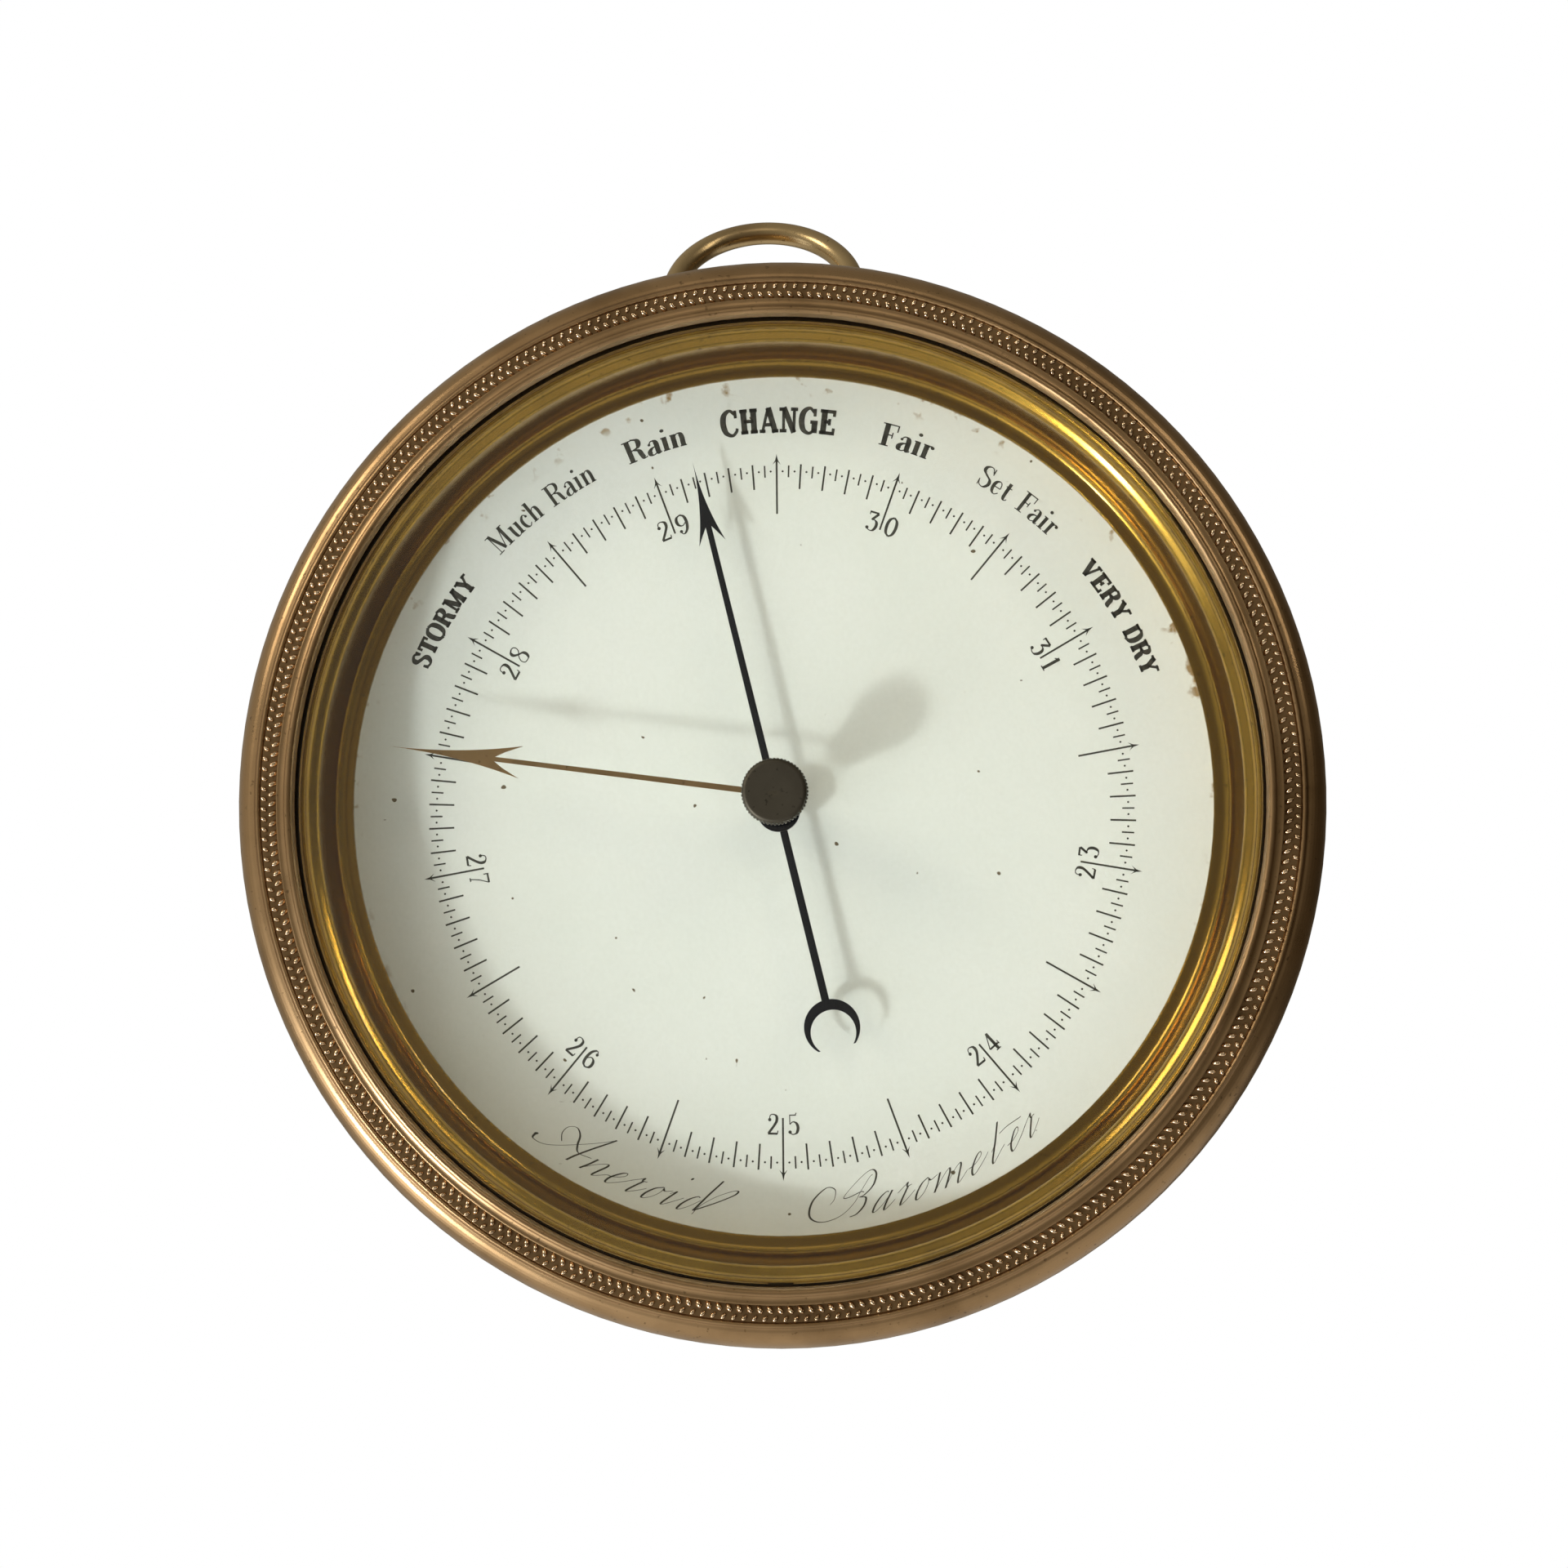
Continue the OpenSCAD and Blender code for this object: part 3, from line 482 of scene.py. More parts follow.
def milled_band():
    """Two rows of slanting beads that a knurling wheel rolled into the bezel. Their seat, a darker
    brass that is painted shade between the beads, faces a little inwards, and each bead leans back towards
    the glass."""
    count = 318
    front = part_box("bezel")[0].y
    lean = math.radians(28)
    # Radius and depth below the crest of the bezel in mm, slant in degrees, half lengths in mm,
    # and shift as a share of the pitch.
    rows = [
        (59.75, 1.02, 30, (0.33, 0.64, 0.34), 0.0),
        (60.78, 0.96, -32, (0.27, 0.46, 0.30), 0.45),
    ]
    seat = [(59.15, 1.3), (59.3, 1.2), (61.15, 1.02), (61.3, 1.15), (61.3, 1.7), (59.15, 1.5)]
    vertices, faces = ring_of([(radius * MM, front + depth * MM) for radius, depth in seat], count)
    # The seat's darker brass is painted shade in the gaps between the beads.
    piece("milled_seat", vertices, faces, FINISHES["bezel_seat_shade"], "root")
    shapes = []
    for radius, depth, slant, half, shift in rows:
        for i in range(count):
            out, along, forward = ring_frame(360 * (i + shift) / count)
            centre = out * radius * MM + Vector((0, front + depth * MM, 0))
            up = Matrix.Rotation(lean, 3, along) @ forward
            across = up.cross(along)
            turn = Matrix.Rotation(math.radians(slant), 3, up)
            shapes.append(bead(centre, (turn @ along, turn @ across, up), [h * MM for h in half]))
    vertices, faces = joined(shapes)
    milling = FINISHES["bezel_milling"]
    piece("milled_band", vertices, faces, milling, "root", smooth=True)


def knob_milling():
    """Rounded ribs round the edge of the set knob."""
    count = 56
    rib = (0.19 * MM, 0.17 * MM, 1.0 * MM)
    low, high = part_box("set_knob")
    radius = (high.x - low.x) / 2
    middle = Vector((0, (low.y + high.y) / 2 + 0.1 * MM, 0))
    shapes = []
    for i in range(count):
        out, along, forward = ring_frame(360 * i / count)
        shapes.append(bead(middle + out * radius, (along, out, forward), rib, rings=6))
    vertices, faces = joined(shapes)
    bronze = FINISHES["knob_bronze"]
    piece("knob_milling", vertices, faces, bronze, "set_hand_group", smooth=True)


def chain_links():
    """The chain as a watchmaker builds it: pairs of waisted plates, joined by rivets."""
    low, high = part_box("chain")
    pitch = 0.62 * MM
    count = round((high.x - low.x) / pitch)
    pitch = (high.x - low.x) / count
    centre_y, centre_z = (low.y + high.y) / 2, (low.z + high.z) / 2
    plate = 0.05 * MM
    plate_half = (pitch * 0.72, 0.26 * MM, plate / 2)
    rivet_half = (0.1 * MM, 0.1 * MM, 0.16 * MM)
    axes = (Vector((1, 0, 0)), Vector((0, 1, 0)), Vector((0, 0, 1)))
    shapes = []
    for i in range(count):
        x = low.x + pitch * (i + 0.5)
        inner = i % 2
        for side in (-1, 1):
            z = centre_z + side * (plate if inner else 2.1 * plate)
            shapes.append(bead(Vector((x, centre_y, z)), axes, plate_half, sides=12))
        rivet = Vector((x - pitch / 2, centre_y, centre_z))
        shapes.append(bead(rivet, axes, rivet_half))
    vertices, faces = joined(shapes)
    links = piece("chain_links", vertices, faces, FINISHES["steel"], "chain_run", smooth=True)
    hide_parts("chain")


# ---- Printing on the dial ----

# Letters are drawn as a pointed pen draws them: a stroke is a list of points, straight
# between two and curved through more, and it swells where it runs down. Bars are serifs and
# crossbars as (x, y, half width), and dots are (x, y, radius). Capitals and figures are 1
# high, and small letters SMALL_HEIGHT.
Glyph = namedtuple("Glyph", "advance strokes bars dots", defaults=[(), ()])
SMALL_HEIGHT = 0.62
PRINT = {
    "A": Glyph(0.84, [
        [(0.13, 0), (0.41, 1)],
        [(0.41, 1), (0.7, 0)],
    ], bars=[(0.14, 0, 0.13), (0.69, 0, 0.15), (0.41, 0.32, 0.17)]),
    "C": Glyph(0.78, [
        [(0.63, 0.84), (0.43, 1), (0.19, 0.84), (0.11, 0.5), (0.19, 0.15), (0.45, 0), (0.64, 0.13),
         (0.69, 0.27)],
        [(0.66, 0.68), (0.66, 0.99)],
    ]),
    "D": Glyph(0.82, [
        [(0.22, 1), (0.22, 0)],
        [(0.38, 1), (0.62, 0.86), (0.7, 0.5), (0.62, 0.14), (0.38, 0)],
    ], bars=[(0.24, 1, 0.17), (0.24, 0, 0.17)]),
    "E": Glyph(0.74, [
        [(0.22, 1), (0.22, 0)],
        [(0.63, 0.74), (0.63, 1)],
        [(0.66, 0), (0.66, 0.28)],
        [(0.46, 0.38), (0.46, 0.64)],
    ], bars=[(0.34, 1, 0.3), (0.36, 0, 0.31), (0.34, 0.51, 0.12)]),
    "F": Glyph(0.68, [
        [(0.22, 1), (0.22, 0)],
        [(0.6, 0.7), (0.6, 1)],
        [(0.45, 0.38), (0.45, 0.64)],
    ], bars=[(0.33, 1, 0.28), (0.22, 0, 0.17), (0.33, 0.51, 0.12)]),
    "G": Glyph(0.84, [
        [(0.63, 0.84), (0.43, 1), (0.19, 0.84), (0.11, 0.5), (0.19, 0.15), (0.42, 0), (0.6, 0.08),
         (0.66, 0.2)],
        [(0.66, 0.68), (0.66, 0.99)],
        [(0.67, 0.44), (0.67, 0.02)],
    ], bars=[(0.64, 0.45, 0.16)]),
    "H": Glyph(0.86, [
        [(0.22, 1), (0.22, 0)],
        [(0.64, 1), (0.64, 0)],
    ], bars=[(0.22, 1, 0.16), (0.22, 0, 0.16), (0.64, 1, 0.16), (0.64, 0, 0.16), (0.43, 0.5, 0.2)]),
    "M": Glyph(1.04, [
        [(0.2, 0), (0.2, 1)],
        [(0.22, 1), (0.51, 0.06)],
        [(0.51, 0.06), (0.8, 1)],
        [(0.82, 1), (0.82, 0)],
    ], bars=[(0.2, 0, 0.15), (0.82, 0, 0.16), (0.17, 1, 0.12), (0.86, 1, 0.12)]),
    "N": Glyph(0.88, [
        [(0.22, 0), (0.22, 1)],
        [(0.22, 1), (0.67, 0)],
        [(0.67, 0), (0.67, 1)],
    ], bars=[(0.2, 0, 0.15), (0.18, 1, 0.14), (0.67, 1, 0.15)]),
    "O": Glyph(0.8, [
        [(0.4, 1), (0.18, 0.85), (0.11, 0.5), (0.18, 0.15), (0.4, 0)],
        [(0.4, 1), (0.62, 0.85), (0.69, 0.5), (0.62, 0.15), (0.4, 0)],
    ]),
    "R": Glyph(0.84, [
        [(0.22, 1), (0.22, 0)],
        [(0.38, 1), (0.58, 0.92), (0.63, 0.76), (0.56, 0.59), (0.38, 0.52)],
        [(0.4, 0.52), (0.56, 0.42), (0.62, 0.2), (0.68, 0.03), (0.8, 0.05)],
    ], bars=[(0.22, 1, 0.17), (0.22, 0, 0.16), (0.33, 0.52, 0.12)]),
    "S": Glyph(0.66, [
        [(0.5, 0.78), (0.43, 0.94), (0.31, 1), (0.14, 0.9), (0.12, 0.71), (0.29, 0.56), (0.49, 0.42),
         (0.53, 0.22), (0.43, 0.05), (0.3, 0), (0.15, 0.07), (0.1, 0.22)],
        [(0.52, 0.7), (0.52, 1)],
        [(0.09, 0), (0.09, 0.3)],
    ]),
    "T": Glyph(0.76, [
        [(0.38, 1), (0.38, 0)],
        [(0.09, 0.7), (0.09, 1)],
        [(0.67, 0.7), (0.67, 1)],
    ], bars=[(0.38, 1, 0.3), (0.38, 0, 0.17)]),
    "V": Glyph(0.82, [
        [(0.16, 1), (0.42, 0)],
        [(0.42, 0), (0.67, 1)],
    ], bars=[(0.17, 1, 0.15), (0.66, 1, 0.14)]),
    "Y": Glyph(0.82, [
        [(0.16, 1), (0.41, 0.46)],
        [(0.41, 0.46), (0.66, 1)],
        [(0.41, 0.5), (0.41, 0)],
    ], bars=[(0.17, 1, 0.15), (0.66, 1, 0.14), (0.41, 0, 0.17)]),
    "a": Glyph(0.54, [
        [(0.38, 0.36), (0.2, 0.31), (0.09, 0.19), (0.1, 0.05), (0.2, 0), (0.31, 0.05), (0.4, 0.15)],
        [(0.12, 0.5), (0.22, 0.62), (0.34, 0.59), (0.39, 0.44), (0.39, 0.12), (0.43, 0.01), (0.52, 0.06)],
    ], dots=[(0.13, 0.49, 0.055)]),
    "c": Glyph(0.46, [
        [(0.38, 0.5), (0.26, 0.62), (0.12, 0.5), (0.08, 0.31), (0.13, 0.09), (0.27, 0), (0.4, 0.12)],
    ], dots=[(0.35, 0.49, 0.055)]),
    "e": Glyph(0.5, [
        [(0.41, 0.34), (0.36, 0.56), (0.25, 0.62), (0.12, 0.52), (0.08, 0.31), (0.13, 0.08), (0.27, 0),
         (0.41, 0.12)],
    ], bars=[(0.25, 0.33, 0.16)]),
    "h": Glyph(0.64, [
        [(0.16, 1), (0.16, 0)],
        [(0.16, 0.42), (0.3, 0.6), (0.42, 0.58), (0.47, 0.42), (0.47, 0.2), (0.47, 0)],
    ], bars=[(0.11, 1, 0.07), (0.16, 0, 0.12), (0.47, 0, 0.12)]),
    "i": Glyph(0.34, [
        [(0.17, 0.62), (0.17, 0)],
    ], bars=[(0.11, 0.62, 0.07), (0.17, 0, 0.13)], dots=[(0.17, 0.92, 0.075)]),
    "n": Glyph(0.64, [
        [(0.16, 0.62), (0.16, 0)],
        [(0.16, 0.42), (0.3, 0.6), (0.42, 0.58), (0.47, 0.42), (0.47, 0.2), (0.47, 0)],
    ], bars=[(0.11, 0.62, 0.07), (0.16, 0, 0.12), (0.47, 0, 0.12)]),
    "r": Glyph(0.46, [
        [(0.16, 0.62), (0.16, 0)],
        [(0.16, 0.4), (0.26, 0.58), (0.36, 0.61)],
    ], bars=[(0.11, 0.62, 0.07), (0.16, 0, 0.13)], dots=[(0.37, 0.55, 0.07)]),
    "t": Glyph(0.38, [
        [(0.18, 0.82), (0.18, 0.3), (0.2, 0.07), (0.28, 0), (0.37, 0.09)],
    ], bars=[(0.2, 0.61, 0.14)]),
    "u": Glyph(0.64, [
        [(0.16, 0.62), (0.16, 0.25), (0.2, 0.04), (0.32, 0.01), (0.44, 0.14)],
        [(0.46, 0.62), (0.46, 0)],
    ], bars=[(0.11, 0.62, 0.07), (0.41, 0.62, 0.07), (0.52, 0, 0.08)]),
    "0": Glyph(0.64, [
        [(0.32, 1), (0.15, 0.84), (0.09, 0.5), (0.15, 0.16), (0.32, 0)],
        [(0.32, 1), (0.49, 0.84), (0.55, 0.5), (0.49, 0.16), (0.32, 0)],
    ]),
    "1": Glyph(0.46, [[(0.24, 1), (0.24, 0)], [(0.1, 0.8), (0.22, 0.96)]], bars=[(0.24, 0, 0.15)]),
    "2": Glyph(0.62, [
        [(0.13, 0.72), (0.17, 0.94), (0.32, 1), (0.49, 0.92), (0.52, 0.72), (0.42, 0.5), (0.1, 0.05)],
        [(0.56, 0.04), (0.58, 0.2)],
    ], bars=[(0.32, 0.02, 0.24), (0.34, 0.07, 0.2)], dots=[(0.15, 0.73, 0.085)]),
    "3": Glyph(0.62, [
        [(0.54, 0.93), (0.28, 0.56)],
        [(0.26, 0.56), (0.42, 0.57), (0.54, 0.46), (0.56, 0.24), (0.46, 0.04), (0.3, 0), (0.14, 0.07)],
        [(0.12, 0.8), (0.12, 1)],
    ], bars=[(0.32, 0.97, 0.22), (0.32, 0.93, 0.2)], dots=[(0.14, 0.12, 0.085)]),
    "4": Glyph(0.66, [
        [(0.05, 0.27), (0.42, 1)],
        [(0.43, 1), (0.43, 0)],
        [(0.62, 0.2), (0.62, 0.4)],
    ], bars=[(0.33, 0.25, 0.27), (0.33, 0.29, 0.25), (0.43, 0, 0.14)]),
    "5": Glyph(0.62, [
        [(0.14, 0.5), (0.14, 0.98)],
        [(0.14, 0.5), (0.3, 0.62), (0.48, 0.54), (0.55, 0.32), (0.48, 0.08), (0.3, 0), (0.14, 0.07)],
        [(0.44, 0.98), (0.5, 1.06)],
    ], bars=[(0.31, 0.95, 0.17)], dots=[(0.14, 0.12, 0.085)]),
    "6": Glyph(0.64, [
        [(0.5, 0.86), (0.42, 0.99), (0.3, 0.97), (0.15, 0.78), (0.09, 0.44), (0.15, 0.13), (0.32, 0)],
        [(0.13, 0.42), (0.32, 0.57), (0.5, 0.49), (0.56, 0.29), (0.5, 0.1), (0.32, 0)],
    ], dots=[(0.48, 0.84, 0.08)]),
    "7": Glyph(0.6, [
        [(0.24, 0), (0.24, 0.14), (0.34, 0.5), (0.56, 0.93)],
        [(0.08, 0.74), (0.08, 1)],
    ], bars=[(0.32, 0.96, 0.25), (0.33, 0.92, 0.23), (0.24, 0, 0.1)]),
    "8": Glyph(0.64, [
        [(0.32, 1), (0.16, 0.92), (0.13, 0.74), (0.28, 0.56), (0.5, 0.4), (0.54, 0.2), (0.46, 0.03),
         (0.32, 0)],
        [(0.32, 0), (0.15, 0.04), (0.1, 0.24), (0.22, 0.46), (0.44, 0.64), (0.5, 0.82), (0.44, 0.96),
         (0.32, 1)],
    ]),
    "9": Glyph(0.64, [
        [(0.32, 1), (0.49, 0.87), (0.55, 0.56), (0.49, 0.22), (0.34, 0.03), (0.22, 0.01), (0.14, 0.14)],
        [(0.32, 1), (0.14, 0.9), (0.08, 0.71), (0.14, 0.51), (0.32, 0.43), (0.51, 0.58)],
    ], dots=[(0.16, 0.16, 0.08)]),
    " ": Glyph(0.42, []),
}
# The running hand is drawn upright with small letters 1 high, and then slanted.
SCRIPT = {
    "A": Glyph(0.95, [
        [(-2.7, 0.25), (-2.35, -0.08), (-1.6, 0.12), (-0.8, 1.25), (-0.3, 1.95), (0.1, 2.55)],
        [(0.1, 2.55), (-0.08, 1.5), (-0.1, 0.6), (0, 0)],
        [(-1.55, 0.8), (-2.2, 1.25), (-2.5, 1.75), (-2.2, 2.0), (-1.5, 1.7), (-0.8, 1.1), (-0.2, 0.75),
         (0.6, 0.85)],
    ], dots=[(-2.68, 0.27, 0.1)]),
    "n": Glyph(1.62, [
        [(-0.05, 1), (0, 0.5), (0, 0)],
        [(0, 0.05), (0.25, 0.65), (0.6, 1), (0.78, 0.88), (0.8, 0.45), (0.83, 0.08), (0.97, 0),
         (1.35, 0.42)],
    ]),
    "e": Glyph(1.5, [
        [(-0.25, 0.42), (0.15, 0.5), (0.5, 0.78), (0.42, 1), (0.18, 0.88), (0.02, 0.42), (0.12, 0.06),
         (0.34, 0), (0.8, 0.45), (1.05, 0.75)],
    ]),
    "r": Glyph(0.95, [
        [(-0.5, 0.72), (-0.2, 1.0), (-0.05, 1.16)],
        [(-0.05, 1.16), (0.02, 0.95), (0.3, 0.97)],
        [(0.08, 0.95), (0.02, 0.45), (0.02, 0.1), (0.14, 0), (0.5, 0.35), (0.7, 0.6)],
    ]),
    "o": Glyph(1.32, [
        [(0.42, 1), (0.12, 0.8), (0, 0.4), (0.08, 0.05), (0.26, 0), (0.5, 0.25), (0.6, 0.65), (0.5, 0.95),
         (0.42, 1)],
        [(0.52, 0.92), (0.75, 0.8), (1.1, 0.95)],
    ]),
    "i": Glyph(1.0, [
        [(-0.2, 0.75), (0.02, 1)],
        [(0.02, 1), (0, 0.4), (0.03, 0.08), (0.16, 0), (0.5, 0.4), (0.75, 0.72)],
    ], dots=[(-0.05, 1.95, 0.08)]),
    "a": Glyph(1.75, [
        [(0.55, 0.95), (0.38, 1), (0.12, 0.78), (0, 0.38), (0.06, 0.04), (0.22, 0), (0.5, 0.3),
         (0.72, 0.8)],
        [(0.75, 1), (0.7, 0.45), (0.74, 0.08), (0.88, 0), (1.25, 0.42)],
    ]),
    "d": Glyph(1.8, [
        [(0.55, 0.95), (0.38, 1), (0.12, 0.78), (0, 0.38), (0.06, 0.04), (0.22, 0), (0.5, 0.3),
         (0.75, 0.8)],
        [(0.8, 2.2), (0.82, 1.2), (0.98, 0.12)],
        [(1.16, -0.12), (1.05, 0.5), (1.35, 1.2), (1.9, 1.65), (2.25, 1.72), (2.3, 1.5), (1.95, 1.1),
         (1.4, 0.55), (0.98, 0.12)],
    ]),
    "B": Glyph(1.45, [
        [(-1.75, 0.88), (-1.7, 1.2), (-2.05, 1.75), (-2.75, 1.9), (-3.1, 1.2), (-2.6, 0.3), (-1.6, -0.1),
         (-0.6, 0.12), (-0.15, 0.75), (-0.1, 1.4), (0.05, 2.1), (0.2, 2.2)],
        [(0.15, 1.3), (-0.1, 1.35), (-0.75, 1.15), (-1.1, 1.2), (-0.95, 1.7), (-0.5, 2.3), (0.0, 2.5),
         (0.45, 2.2), (0.6, 1.6), (0.3, 1.15), (0.0, 1.05)],
        [(0.05, 1.06), (0.5, 0.95), (0.65, 0.5), (0.45, 0.1), (0.1, 0)],
    ]),
    "m": Glyph(2.4, [
        [(-0.05, 1), (0, 0.5), (0, 0)],
        [(0, 0.05), (0.25, 0.65), (0.55, 1), (0.7, 0.85), (0.72, 0.4), (0.72, 0)],
        [(0.72, 0.05), (0.95, 0.65), (1.3, 1), (1.46, 0.88), (1.48, 0.45), (1.52, 0.08), (1.66, 0),
         (2.05, 0.42)],
    ]),
    "t": Glyph(1.3, [
        [(-0.15, 0.6), (0.05, 1.0)],
        [(0.05, 1.95), (0.02, 1.1), (0, 0.4), (0.04, 0.08), (0.18, 0), (0.55, 0.4), (0.8, 0.6)],
        [(0.3, 1.3), (0.9, 1.4), (2.0, 1.36)],
    ]),
}

# The pens: (hairline, swelling, thickness of bars), as shares of the letters' height.
SLAB_PEN = (0.125, 0.25, 0.14)
TEXT_PEN = (0.048, 0.185, 0.052)
FINE_PEN = (0.042, 0.145, 0.045)
FIGURE_PEN = (0.050, 0.150, 0.055)
SCRIPT_PEN = (0.042, 0.135, 0.050)

# The ink's back lies just under the paint and its front just over it.
INK_BACK = -0.01 * MM
INK_FRONT = 0.02 * MM


def catmull_rom(a, b, c, d, t):
    """The value at share t of the way from b to c, on a smooth line through all four."""
    slope = (c - a) * t
    bend = (2 * a - 5 * b + 4 * c - d) * t**2
    twist = (3 * b - a - 3 * c + d) * t**3
    return (2 * b + slope + bend + twist) / 2


def curve(points, steps=7):
    """Points along a stroke: straight between two, or a Catmull-Rom curve through more."""
    if len(points) == 2:
        (ax, ay), (bx, by) = points
        return [(ax + (bx - ax) * i / steps, ay + (by - ay) * i / steps) for i in range(steps + 1)]
    first = [2 * a - b for a, b in zip(points[0], points[1])]
    last = [2 * a - b for a, b in zip(points[-1], points[-2])]
    ends = [first, *points, last]
    line = []
    for four in zip(ends, ends[1:], ends[2:], ends[3:]):
        for i in range(steps):
            line.append(tuple(catmull_rom(*values, i / steps) for values in zip(*four)))
    return [*line, points[-1]]


def pen_stroke(points, hairline, swelling):
    """Left and right edges of a stroke, as wide as the pen opens in each direction."""
    line = curve(points)
    left, right = [], []
    for i, (x, y) in enumerate(line):
        (ax, ay), (bx, by) = line[max(0, i - 1)], line[min(len(line) - 1, i + 1)]
        length = math.hypot(bx - ax, by - ay)
        dx, dy = (bx - ax) / length, (by - ay) / length
        half = (hairline + (swelling - hairline) * max(0, -dy) ** 1.6) / 2
        left.append((x - dy * half, y + dx * half))
        right.append((x + dy * half, y - dx * half))
    return left, right


def dot_band(x, y, radius, steps):
    """A round dot as a band of this many steps, its upper and its lower edge."""
    turns = [math.pi * i / steps for i in range(steps + 1)]
    top = [(x - radius * math.cos(t), y + radius * math.sin(t)) for t in turns]
    return top, [(px, 2 * y - py) for px, py in top]


def glyph_bands(glyph, pen):
    """Every stroke, bar and dot of a glyph as a band, (left edge, right edge)."""
    hairline, swelling, bar = pen
    bands = [pen_stroke(stroke, hairline, swelling) for stroke in glyph.strokes]
    for x, y, half in glyph.bars:
        if y == 0:
            y += bar / 2
        elif y in (SMALL_HEIGHT, 1):
            y -= bar / 2
        top, bottom = y + bar / 2, y - bar / 2
        bands.append(([(x - half, top), (x + half, top)], [(x - half, bottom), (x + half, bottom)]))
    bands += [dot_band(x, y, radius, 8) for x, y, radius in glyph.dots]
    return bands


def text_bands(text, glyphs, pen, slant=0.0):
    """The bands of a line of text that starts at (0, 0), and its length."""
    start, bands = 0.0, []
    for letter in text:
        glyph = glyphs[letter]
        for edges in glyph_bands(glyph, pen):
            bands.append(tuple([(start + x + slant * y, y) for x, y in edge] for edge in edges))
        start += glyph.advance
    return bands, start


def on_dial(across, out, lift):
    """A point of the dial, in mm to the right of and above its centre, lifted off its face."""
    return dial_centre + Vector((across * MM, -lift, out * MM))


def printed(bands, place):
    """Bands as thin closed prisms of ink. place maps a band's (x, y) to mm on the dial."""
    shapes = []
    for left, right in bands:
        count = len(left)
        outline = [place(*p) for p in left] + [place(*p) for p in reversed(right)]
        vertices = [on_dial(*p, lift) for lift in (INK_FRONT, INK_BACK) for p in outline]
        total = 2 * count
        faces = []
        for i in range(count - 1):
            strip = (i, i + 1, total - 2 - i, total - 1 - i)
            faces += [strip[::-1], tuple(total + k for k in strip)]
        faces += [(i, (i + 1) % total, total + (i + 1) % total, total + i) for i in range(total)]
        shapes.append((vertices, faces))
    return shapes


def along_arc(radius, middle, length, height, outward=True):
    """Places text of that length in letter units, height mm high, centred at angle middle
    on a baseline of that radius. Letters stand outwards or towards the centre."""
    sign = 1 if outward else -1

    def place(x, y):
        angle = math.radians(middle) + sign * (x - length / 2) * height / radius
        r = radius + sign * y * height
        return r * math.sin(angle), r * math.cos(angle)

    return place


def polar(angle, radius):
    """The point at this angle and radius, in mm to the right of and above the dial's centre."""
    a = math.radians(angle)
    return radius * math.sin(a), radius * math.cos(a)


def line_band(angle, inner, outer, width):
    """A straight line along the radius at this angle."""
    dx, dy = polar(angle + 90, width / 2)
    edges = []
    for sign in (-1, 1):
        ends = [polar(angle, radius) for radius in (outer, inner)]
        edges.append([(x + sign * dx, y + sign * dy) for x, y in ends])
    return tuple(edges)


def arrow_head(angle, tip, length, half):
    """Two barbs that sweep back from the tip of a scale arrow."""
    a = math.radians(angle)
    bands = []
    for side in (-1, 1):
        front = [(0, tip), (side * half * 0.3, tip - length * 0.55)]
        back = [(0, tip - length * 0.62), (side * half, tip - length)]
        edges = [
            [(x * math.cos(a) + y * math.sin(a), y * math.cos(a) - x * math.sin(a)) for x, y in edge]
            for edge in (front, back)
        ]
        bands.append(tuple(edges[::side]))
    return bands


def scale():
    """The inch scale, with an arrow each half inch, a long line each tenth, a short line
    between and dots between those."""
    inch = 40  # degrees
    bands = []
    for angle in range(0, 360, inch // 20):
        if angle % (inch // 2) == 0:
            bands.append(line_band(angle, 37.4, 44.4, 0.23))
            bands += arrow_head(angle, 45.0, 1.35, 0.52)
        elif angle % (inch // 10) == 0:
            bands.append(line_band(angle, 40.6, 43.75, 0.22))
        else:
            bands.append(line_band(angle, 42.05, 43.55, 0.19))
        bands.append(dot_band(*polar(angle + inch / 40, 42.8), 0.13, 6))
    shapes = printed(bands, lambda x, y: (x, y))
    height, circle, digit_shift = 2.45, 38.2, 1.25
    angle_of_29 = 340
    for inches in range(23, 32):
        angle = (angle_of_29 + inch * (inches - 29)) % 360
        outward = inches >= 28
        sign = 1 if outward else -1
        for digit, side in zip(str(inches), (-1, 1)):
            bands, length = text_bands(digit, PRINT, FIGURE_PEN)
            middle = angle + sign * math.degrees(side * digit_shift / circle)
            baseline = circle - sign * height / 2
            shapes += printed(bands, along_arc(baseline, middle, length, height, outward))
    return shapes


def weather_words():
    """The usual words round a barometer's dial."""
    # Text, pen, middle and span in degrees, height and radius of the baseline in mm.
    words = [
        ("STORMY", SLAB_PEN, -59.7, 15.0, 2.30, 47.7),
        ("Much Rain", FINE_PEN, -37.5, 18.8, 2.80, 47.85),
        ("Rain", TEXT_PEN, -18.2, 9.6, 2.85, 47.75),
        ("CHANGE", SLAB_PEN, 0.3, 16.9, 3.20, 47.75),
        ("Fair", TEXT_PEN, 19.5, 8.4, 2.90, 47.75),
        ("Set Fair", FINE_PEN, 38.1, 13.9, 2.75, 47.8),
        ("VERY DRY", SLAB_PEN, 60.8, 18.9, 2.20, 47.8),
    ]
    shapes = []
    for text, pen, middle, span, height, baseline in words:
        bands, length = text_bands(text, PRINT, pen)
        stretch = math.radians(span) * baseline / (length * height)
        place = along_arc(baseline, middle, length * stretch, height)
        shapes += printed(bands, lambda x, y, place=place, stretch=stretch: place(x * stretch, y))
    return shapes


def legend():
    """What the instrument is, in a running hand along the bottom of the dial."""
    shapes = []
    height, baseline, slant = 2.0, 50.0, 0.86
    for text, start in (("Aneroid", 212.2), ("Barometer", 171.0)):
        bands, length = text_bands(text, SCRIPT, SCRIPT_PEN, slant)
        middle = start - math.degrees(length * height / 2 / baseline)
        shapes += printed(bands, along_arc(baseline, middle, length, height, outward=False))
    return shapes


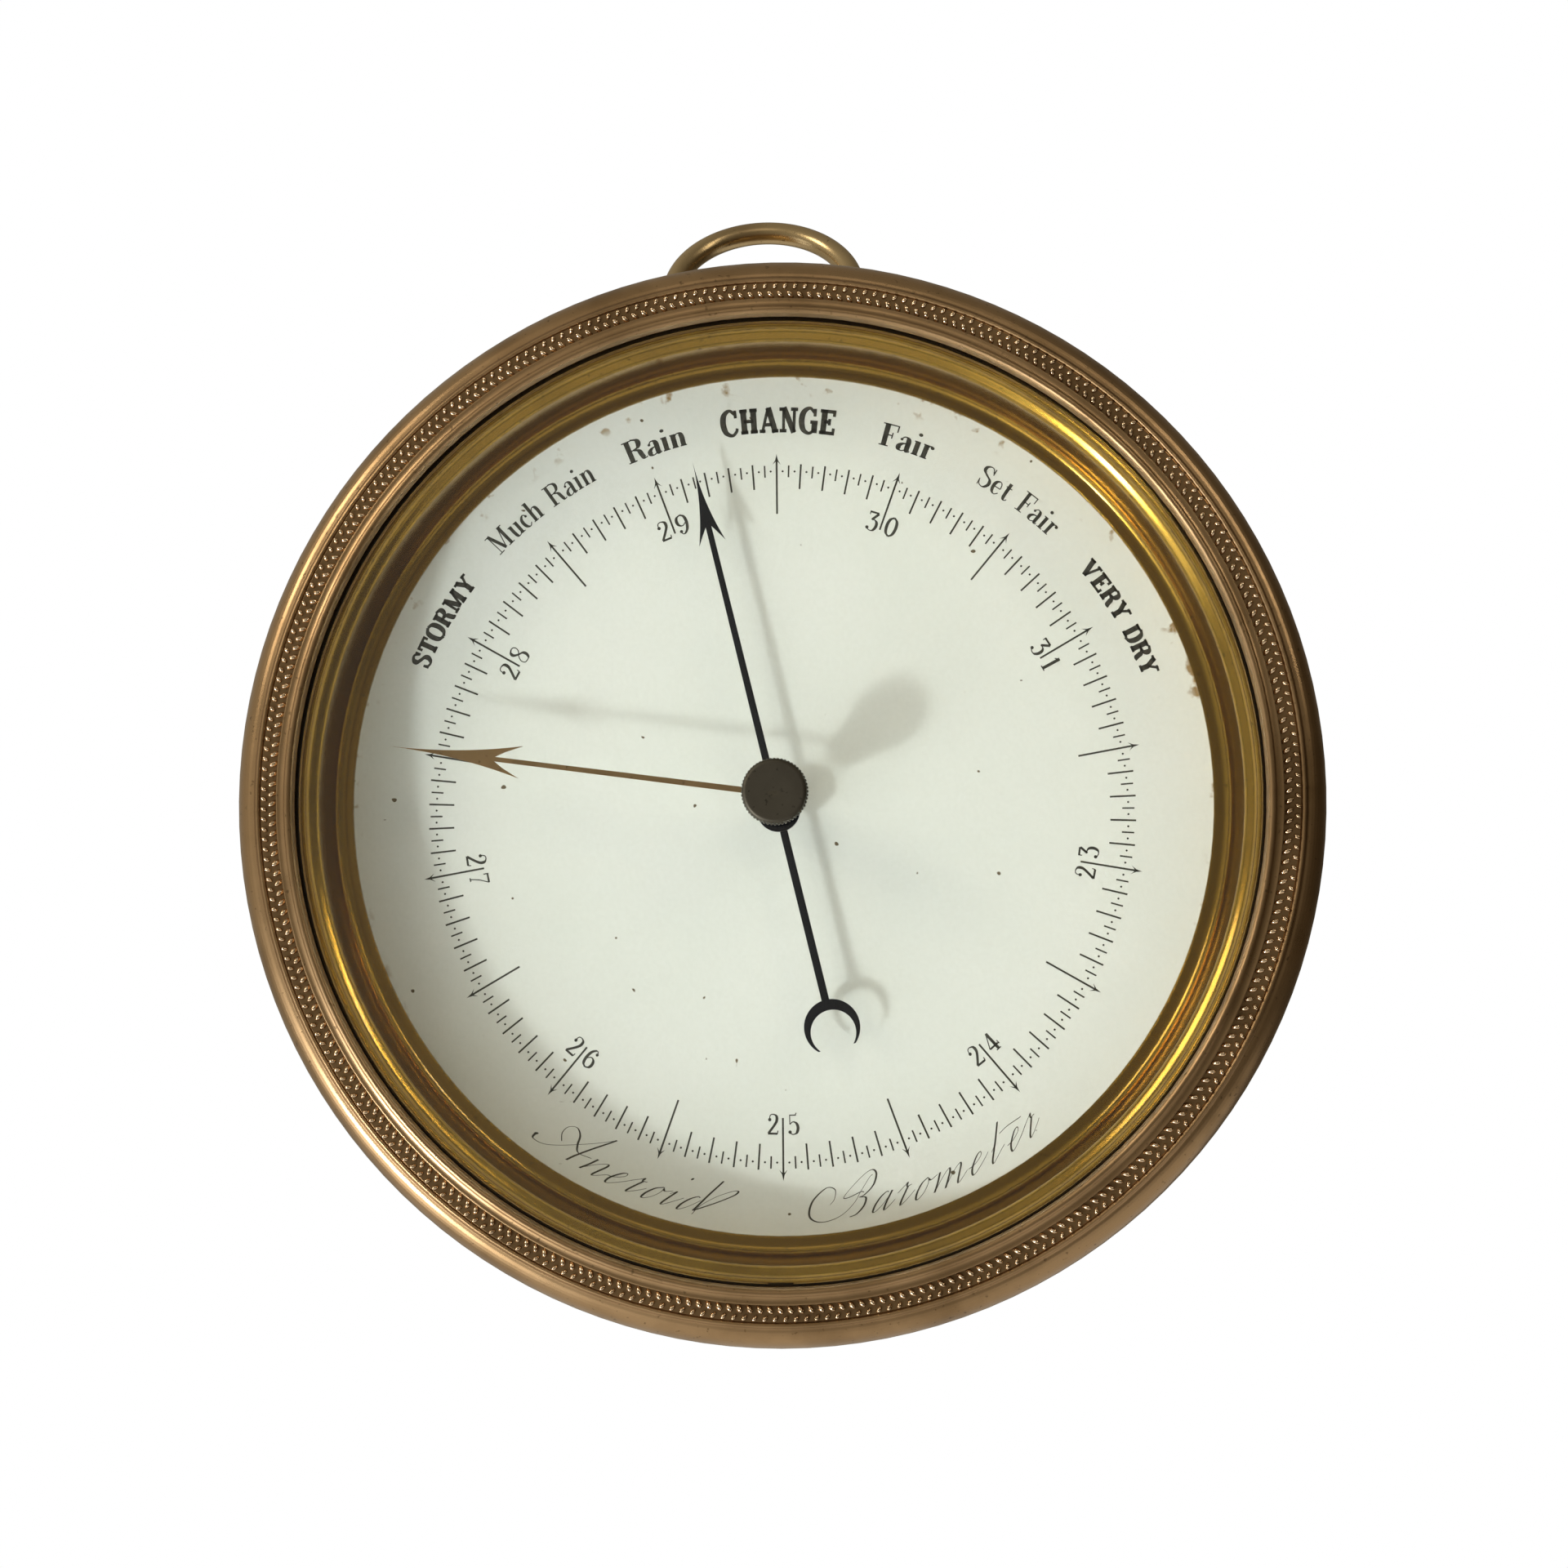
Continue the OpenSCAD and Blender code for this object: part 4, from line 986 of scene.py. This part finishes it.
def dial_printing():
    for name, shapes, ink in (
        ("dial_scale", scale(), INK),
        ("dial_words", weather_words(), INK),
        ("dial_legend", legend(), LEGEND_INK),
    ):
        vertices, faces = joined(shapes)
        piece(name, vertices, faces, ink, "root")


# ---- Studio ----


def looking(place, aim, turn):
    """The rotation that looks from place to aim, turned about that line by turn degrees."""
    look = (Vector(aim) - Vector(place)).to_track_quat("-Z", "Y").to_matrix()
    return (look @ Matrix.Rotation(math.radians(turn), 3, "Z")).to_euler()


def area_lamp(name, place, aim, size, watts, colour, turn=0):
    """A rectangular lamp of this (width, height), turned about the line to its aim."""
    data = bpy.data.lights.new(name, "AREA")
    data.shape = "RECTANGLE"
    data.size, data.size_y = size
    data.energy = watts
    data.color = colour
    lamp = bpy.data.objects.new(name, data)
    lamp.location = place
    lamp.rotation_euler = looking(place, aim, turn)
    bpy.context.collection.objects.link(lamp)


def room():
    """White behind the object, and for reflections a dim warm room with its light on the left."""
    light_side = (-0.85, 0.0, 0.30)
    dark, light = rgb(0.060, 0.048, 0.030), rgb(0.42, 0.40, 0.34)
    world = bpy.data.worlds.new("room")
    bpy.context.scene.world = world
    world.use_nodes = True
    nodes, links = world.node_tree.nodes, world.node_tree.links
    seen = nodes["Background"]
    seen.inputs["Color"].default_value = rgb(1, 1, 1)
    seen.inputs["Strength"].default_value = 1.0
    lit = nodes.new("ShaderNodeBackground")
    lit.inputs["Strength"].default_value = 1.0
    direction = nodes.new("ShaderNodeTexCoord")
    towards = nodes.new("ShaderNodeVectorMath")
    towards.operation = "DOT_PRODUCT"
    towards.inputs[1].default_value = light_side
    links.new(direction.outputs["Generated"], towards.inputs[0])
    share = nodes.new("ShaderNodeMapRange")
    share.inputs["From Min"].default_value = -0.7
    share.inputs["From Max"].default_value = 0.9
    links.new(towards.outputs["Value"], share.inputs["Value"])
    tone = nodes.new("ShaderNodeValToRGB")
    tone.color_ramp.elements[0].color = dark
    tone.color_ramp.elements[1].color = light
    links.new(share.outputs["Result"], tone.inputs["Fac"])
    links.new(tone.outputs["Color"], lit.inputs["Color"])
    ray = nodes.new("ShaderNodeLightPath")
    mix = nodes.new("ShaderNodeMixShader")
    links.new(ray.outputs["Is Camera Ray"], mix.inputs["Fac"])
    links.new(lit.outputs[0], mix.inputs[1])
    links.new(seen.outputs[0], mix.inputs[2])
    links.new(mix.outputs[0], nodes["World Output"].inputs["Surface"])


def floor():
    """A plain pale floor, well below the hanging instrument."""
    radius, drop, sides = 2.0, 1.0, 64
    height = cad_box[0].z - drop
    turns = [math.tau * i / sides for i in range(sides)]
    rim = [(radius * math.cos(turn), radius * math.sin(turn), height) for turn in turns]
    mesh = bpy.data.meshes.new("studio_floor")
    mesh.from_pydata(rim, [], [tuple(range(sides))])
    s = Shader("pale_floor")
    tone = s.mix(s.noise(s.here(), 3, 3), rgb(0.80, 0.80, 0.79), rgb(0.84, 0.84, 0.83))
    s.surface(Base_Color=tone, Roughness=0.8, Emission_Color=tone, Emission_Strength=0.35)
    mesh.materials.append(s.material)
    made = bpy.data.objects.new("studio_floor", mesh)
    bpy.context.collection.objects.link(made)


def camera():
    """Close in front of the dial, a little right of it and below it, looking slightly up."""
    data = bpy.data.cameras.new("camera")
    data.sensor_width = 36
    data.lens = 45.26
    data.clip_start = 0.01
    made = bpy.data.objects.new("camera", data)
    place = Vector((10.73, -272.66, -16.81)) * MM
    aim = Vector((0.51, -29.0, 1.96)) * MM
    roll = -0.56
    made.location = place
    made.rotation_euler = looking(place, aim, roll)
    bpy.context.collection.objects.link(made)
    bpy.context.scene.camera = made


def lights():
    """Daylight from the lower left, with a window and a strip lamp higher up."""
    aim = tuple(dial_centre)
    daylight = (0.94, 0.98, 1.0)
    warm = (1.0, 0.93, 0.78)
    area_lamp("key", (-0.56, -0.62, -0.43), aim, (0.08, 0.08), 3.6, daylight)
    area_lamp("panel", (-0.86, -0.44, -0.66), aim, (0.75, 0.75), 2.6, daylight)
    area_lamp("window", (-0.68, -0.60, 0.45), aim, (0.34, 0.26), 1.9, warm, 33)
    area_lamp("front", (0.00, -0.90, 0.50), aim, (0.30, 0.25), 0.2, warm)
    area_lamp("strip", (0.62, -0.70, 0.52), aim, (0.60, 0.025), 0.9, warm, -50)


finish_nodes()
milled_band()
knob_milling()
chain_links()
dial_printing()
room()
floor()
lights()
camera()

bpy.context.scene.view_settings.view_transform = "Standard"
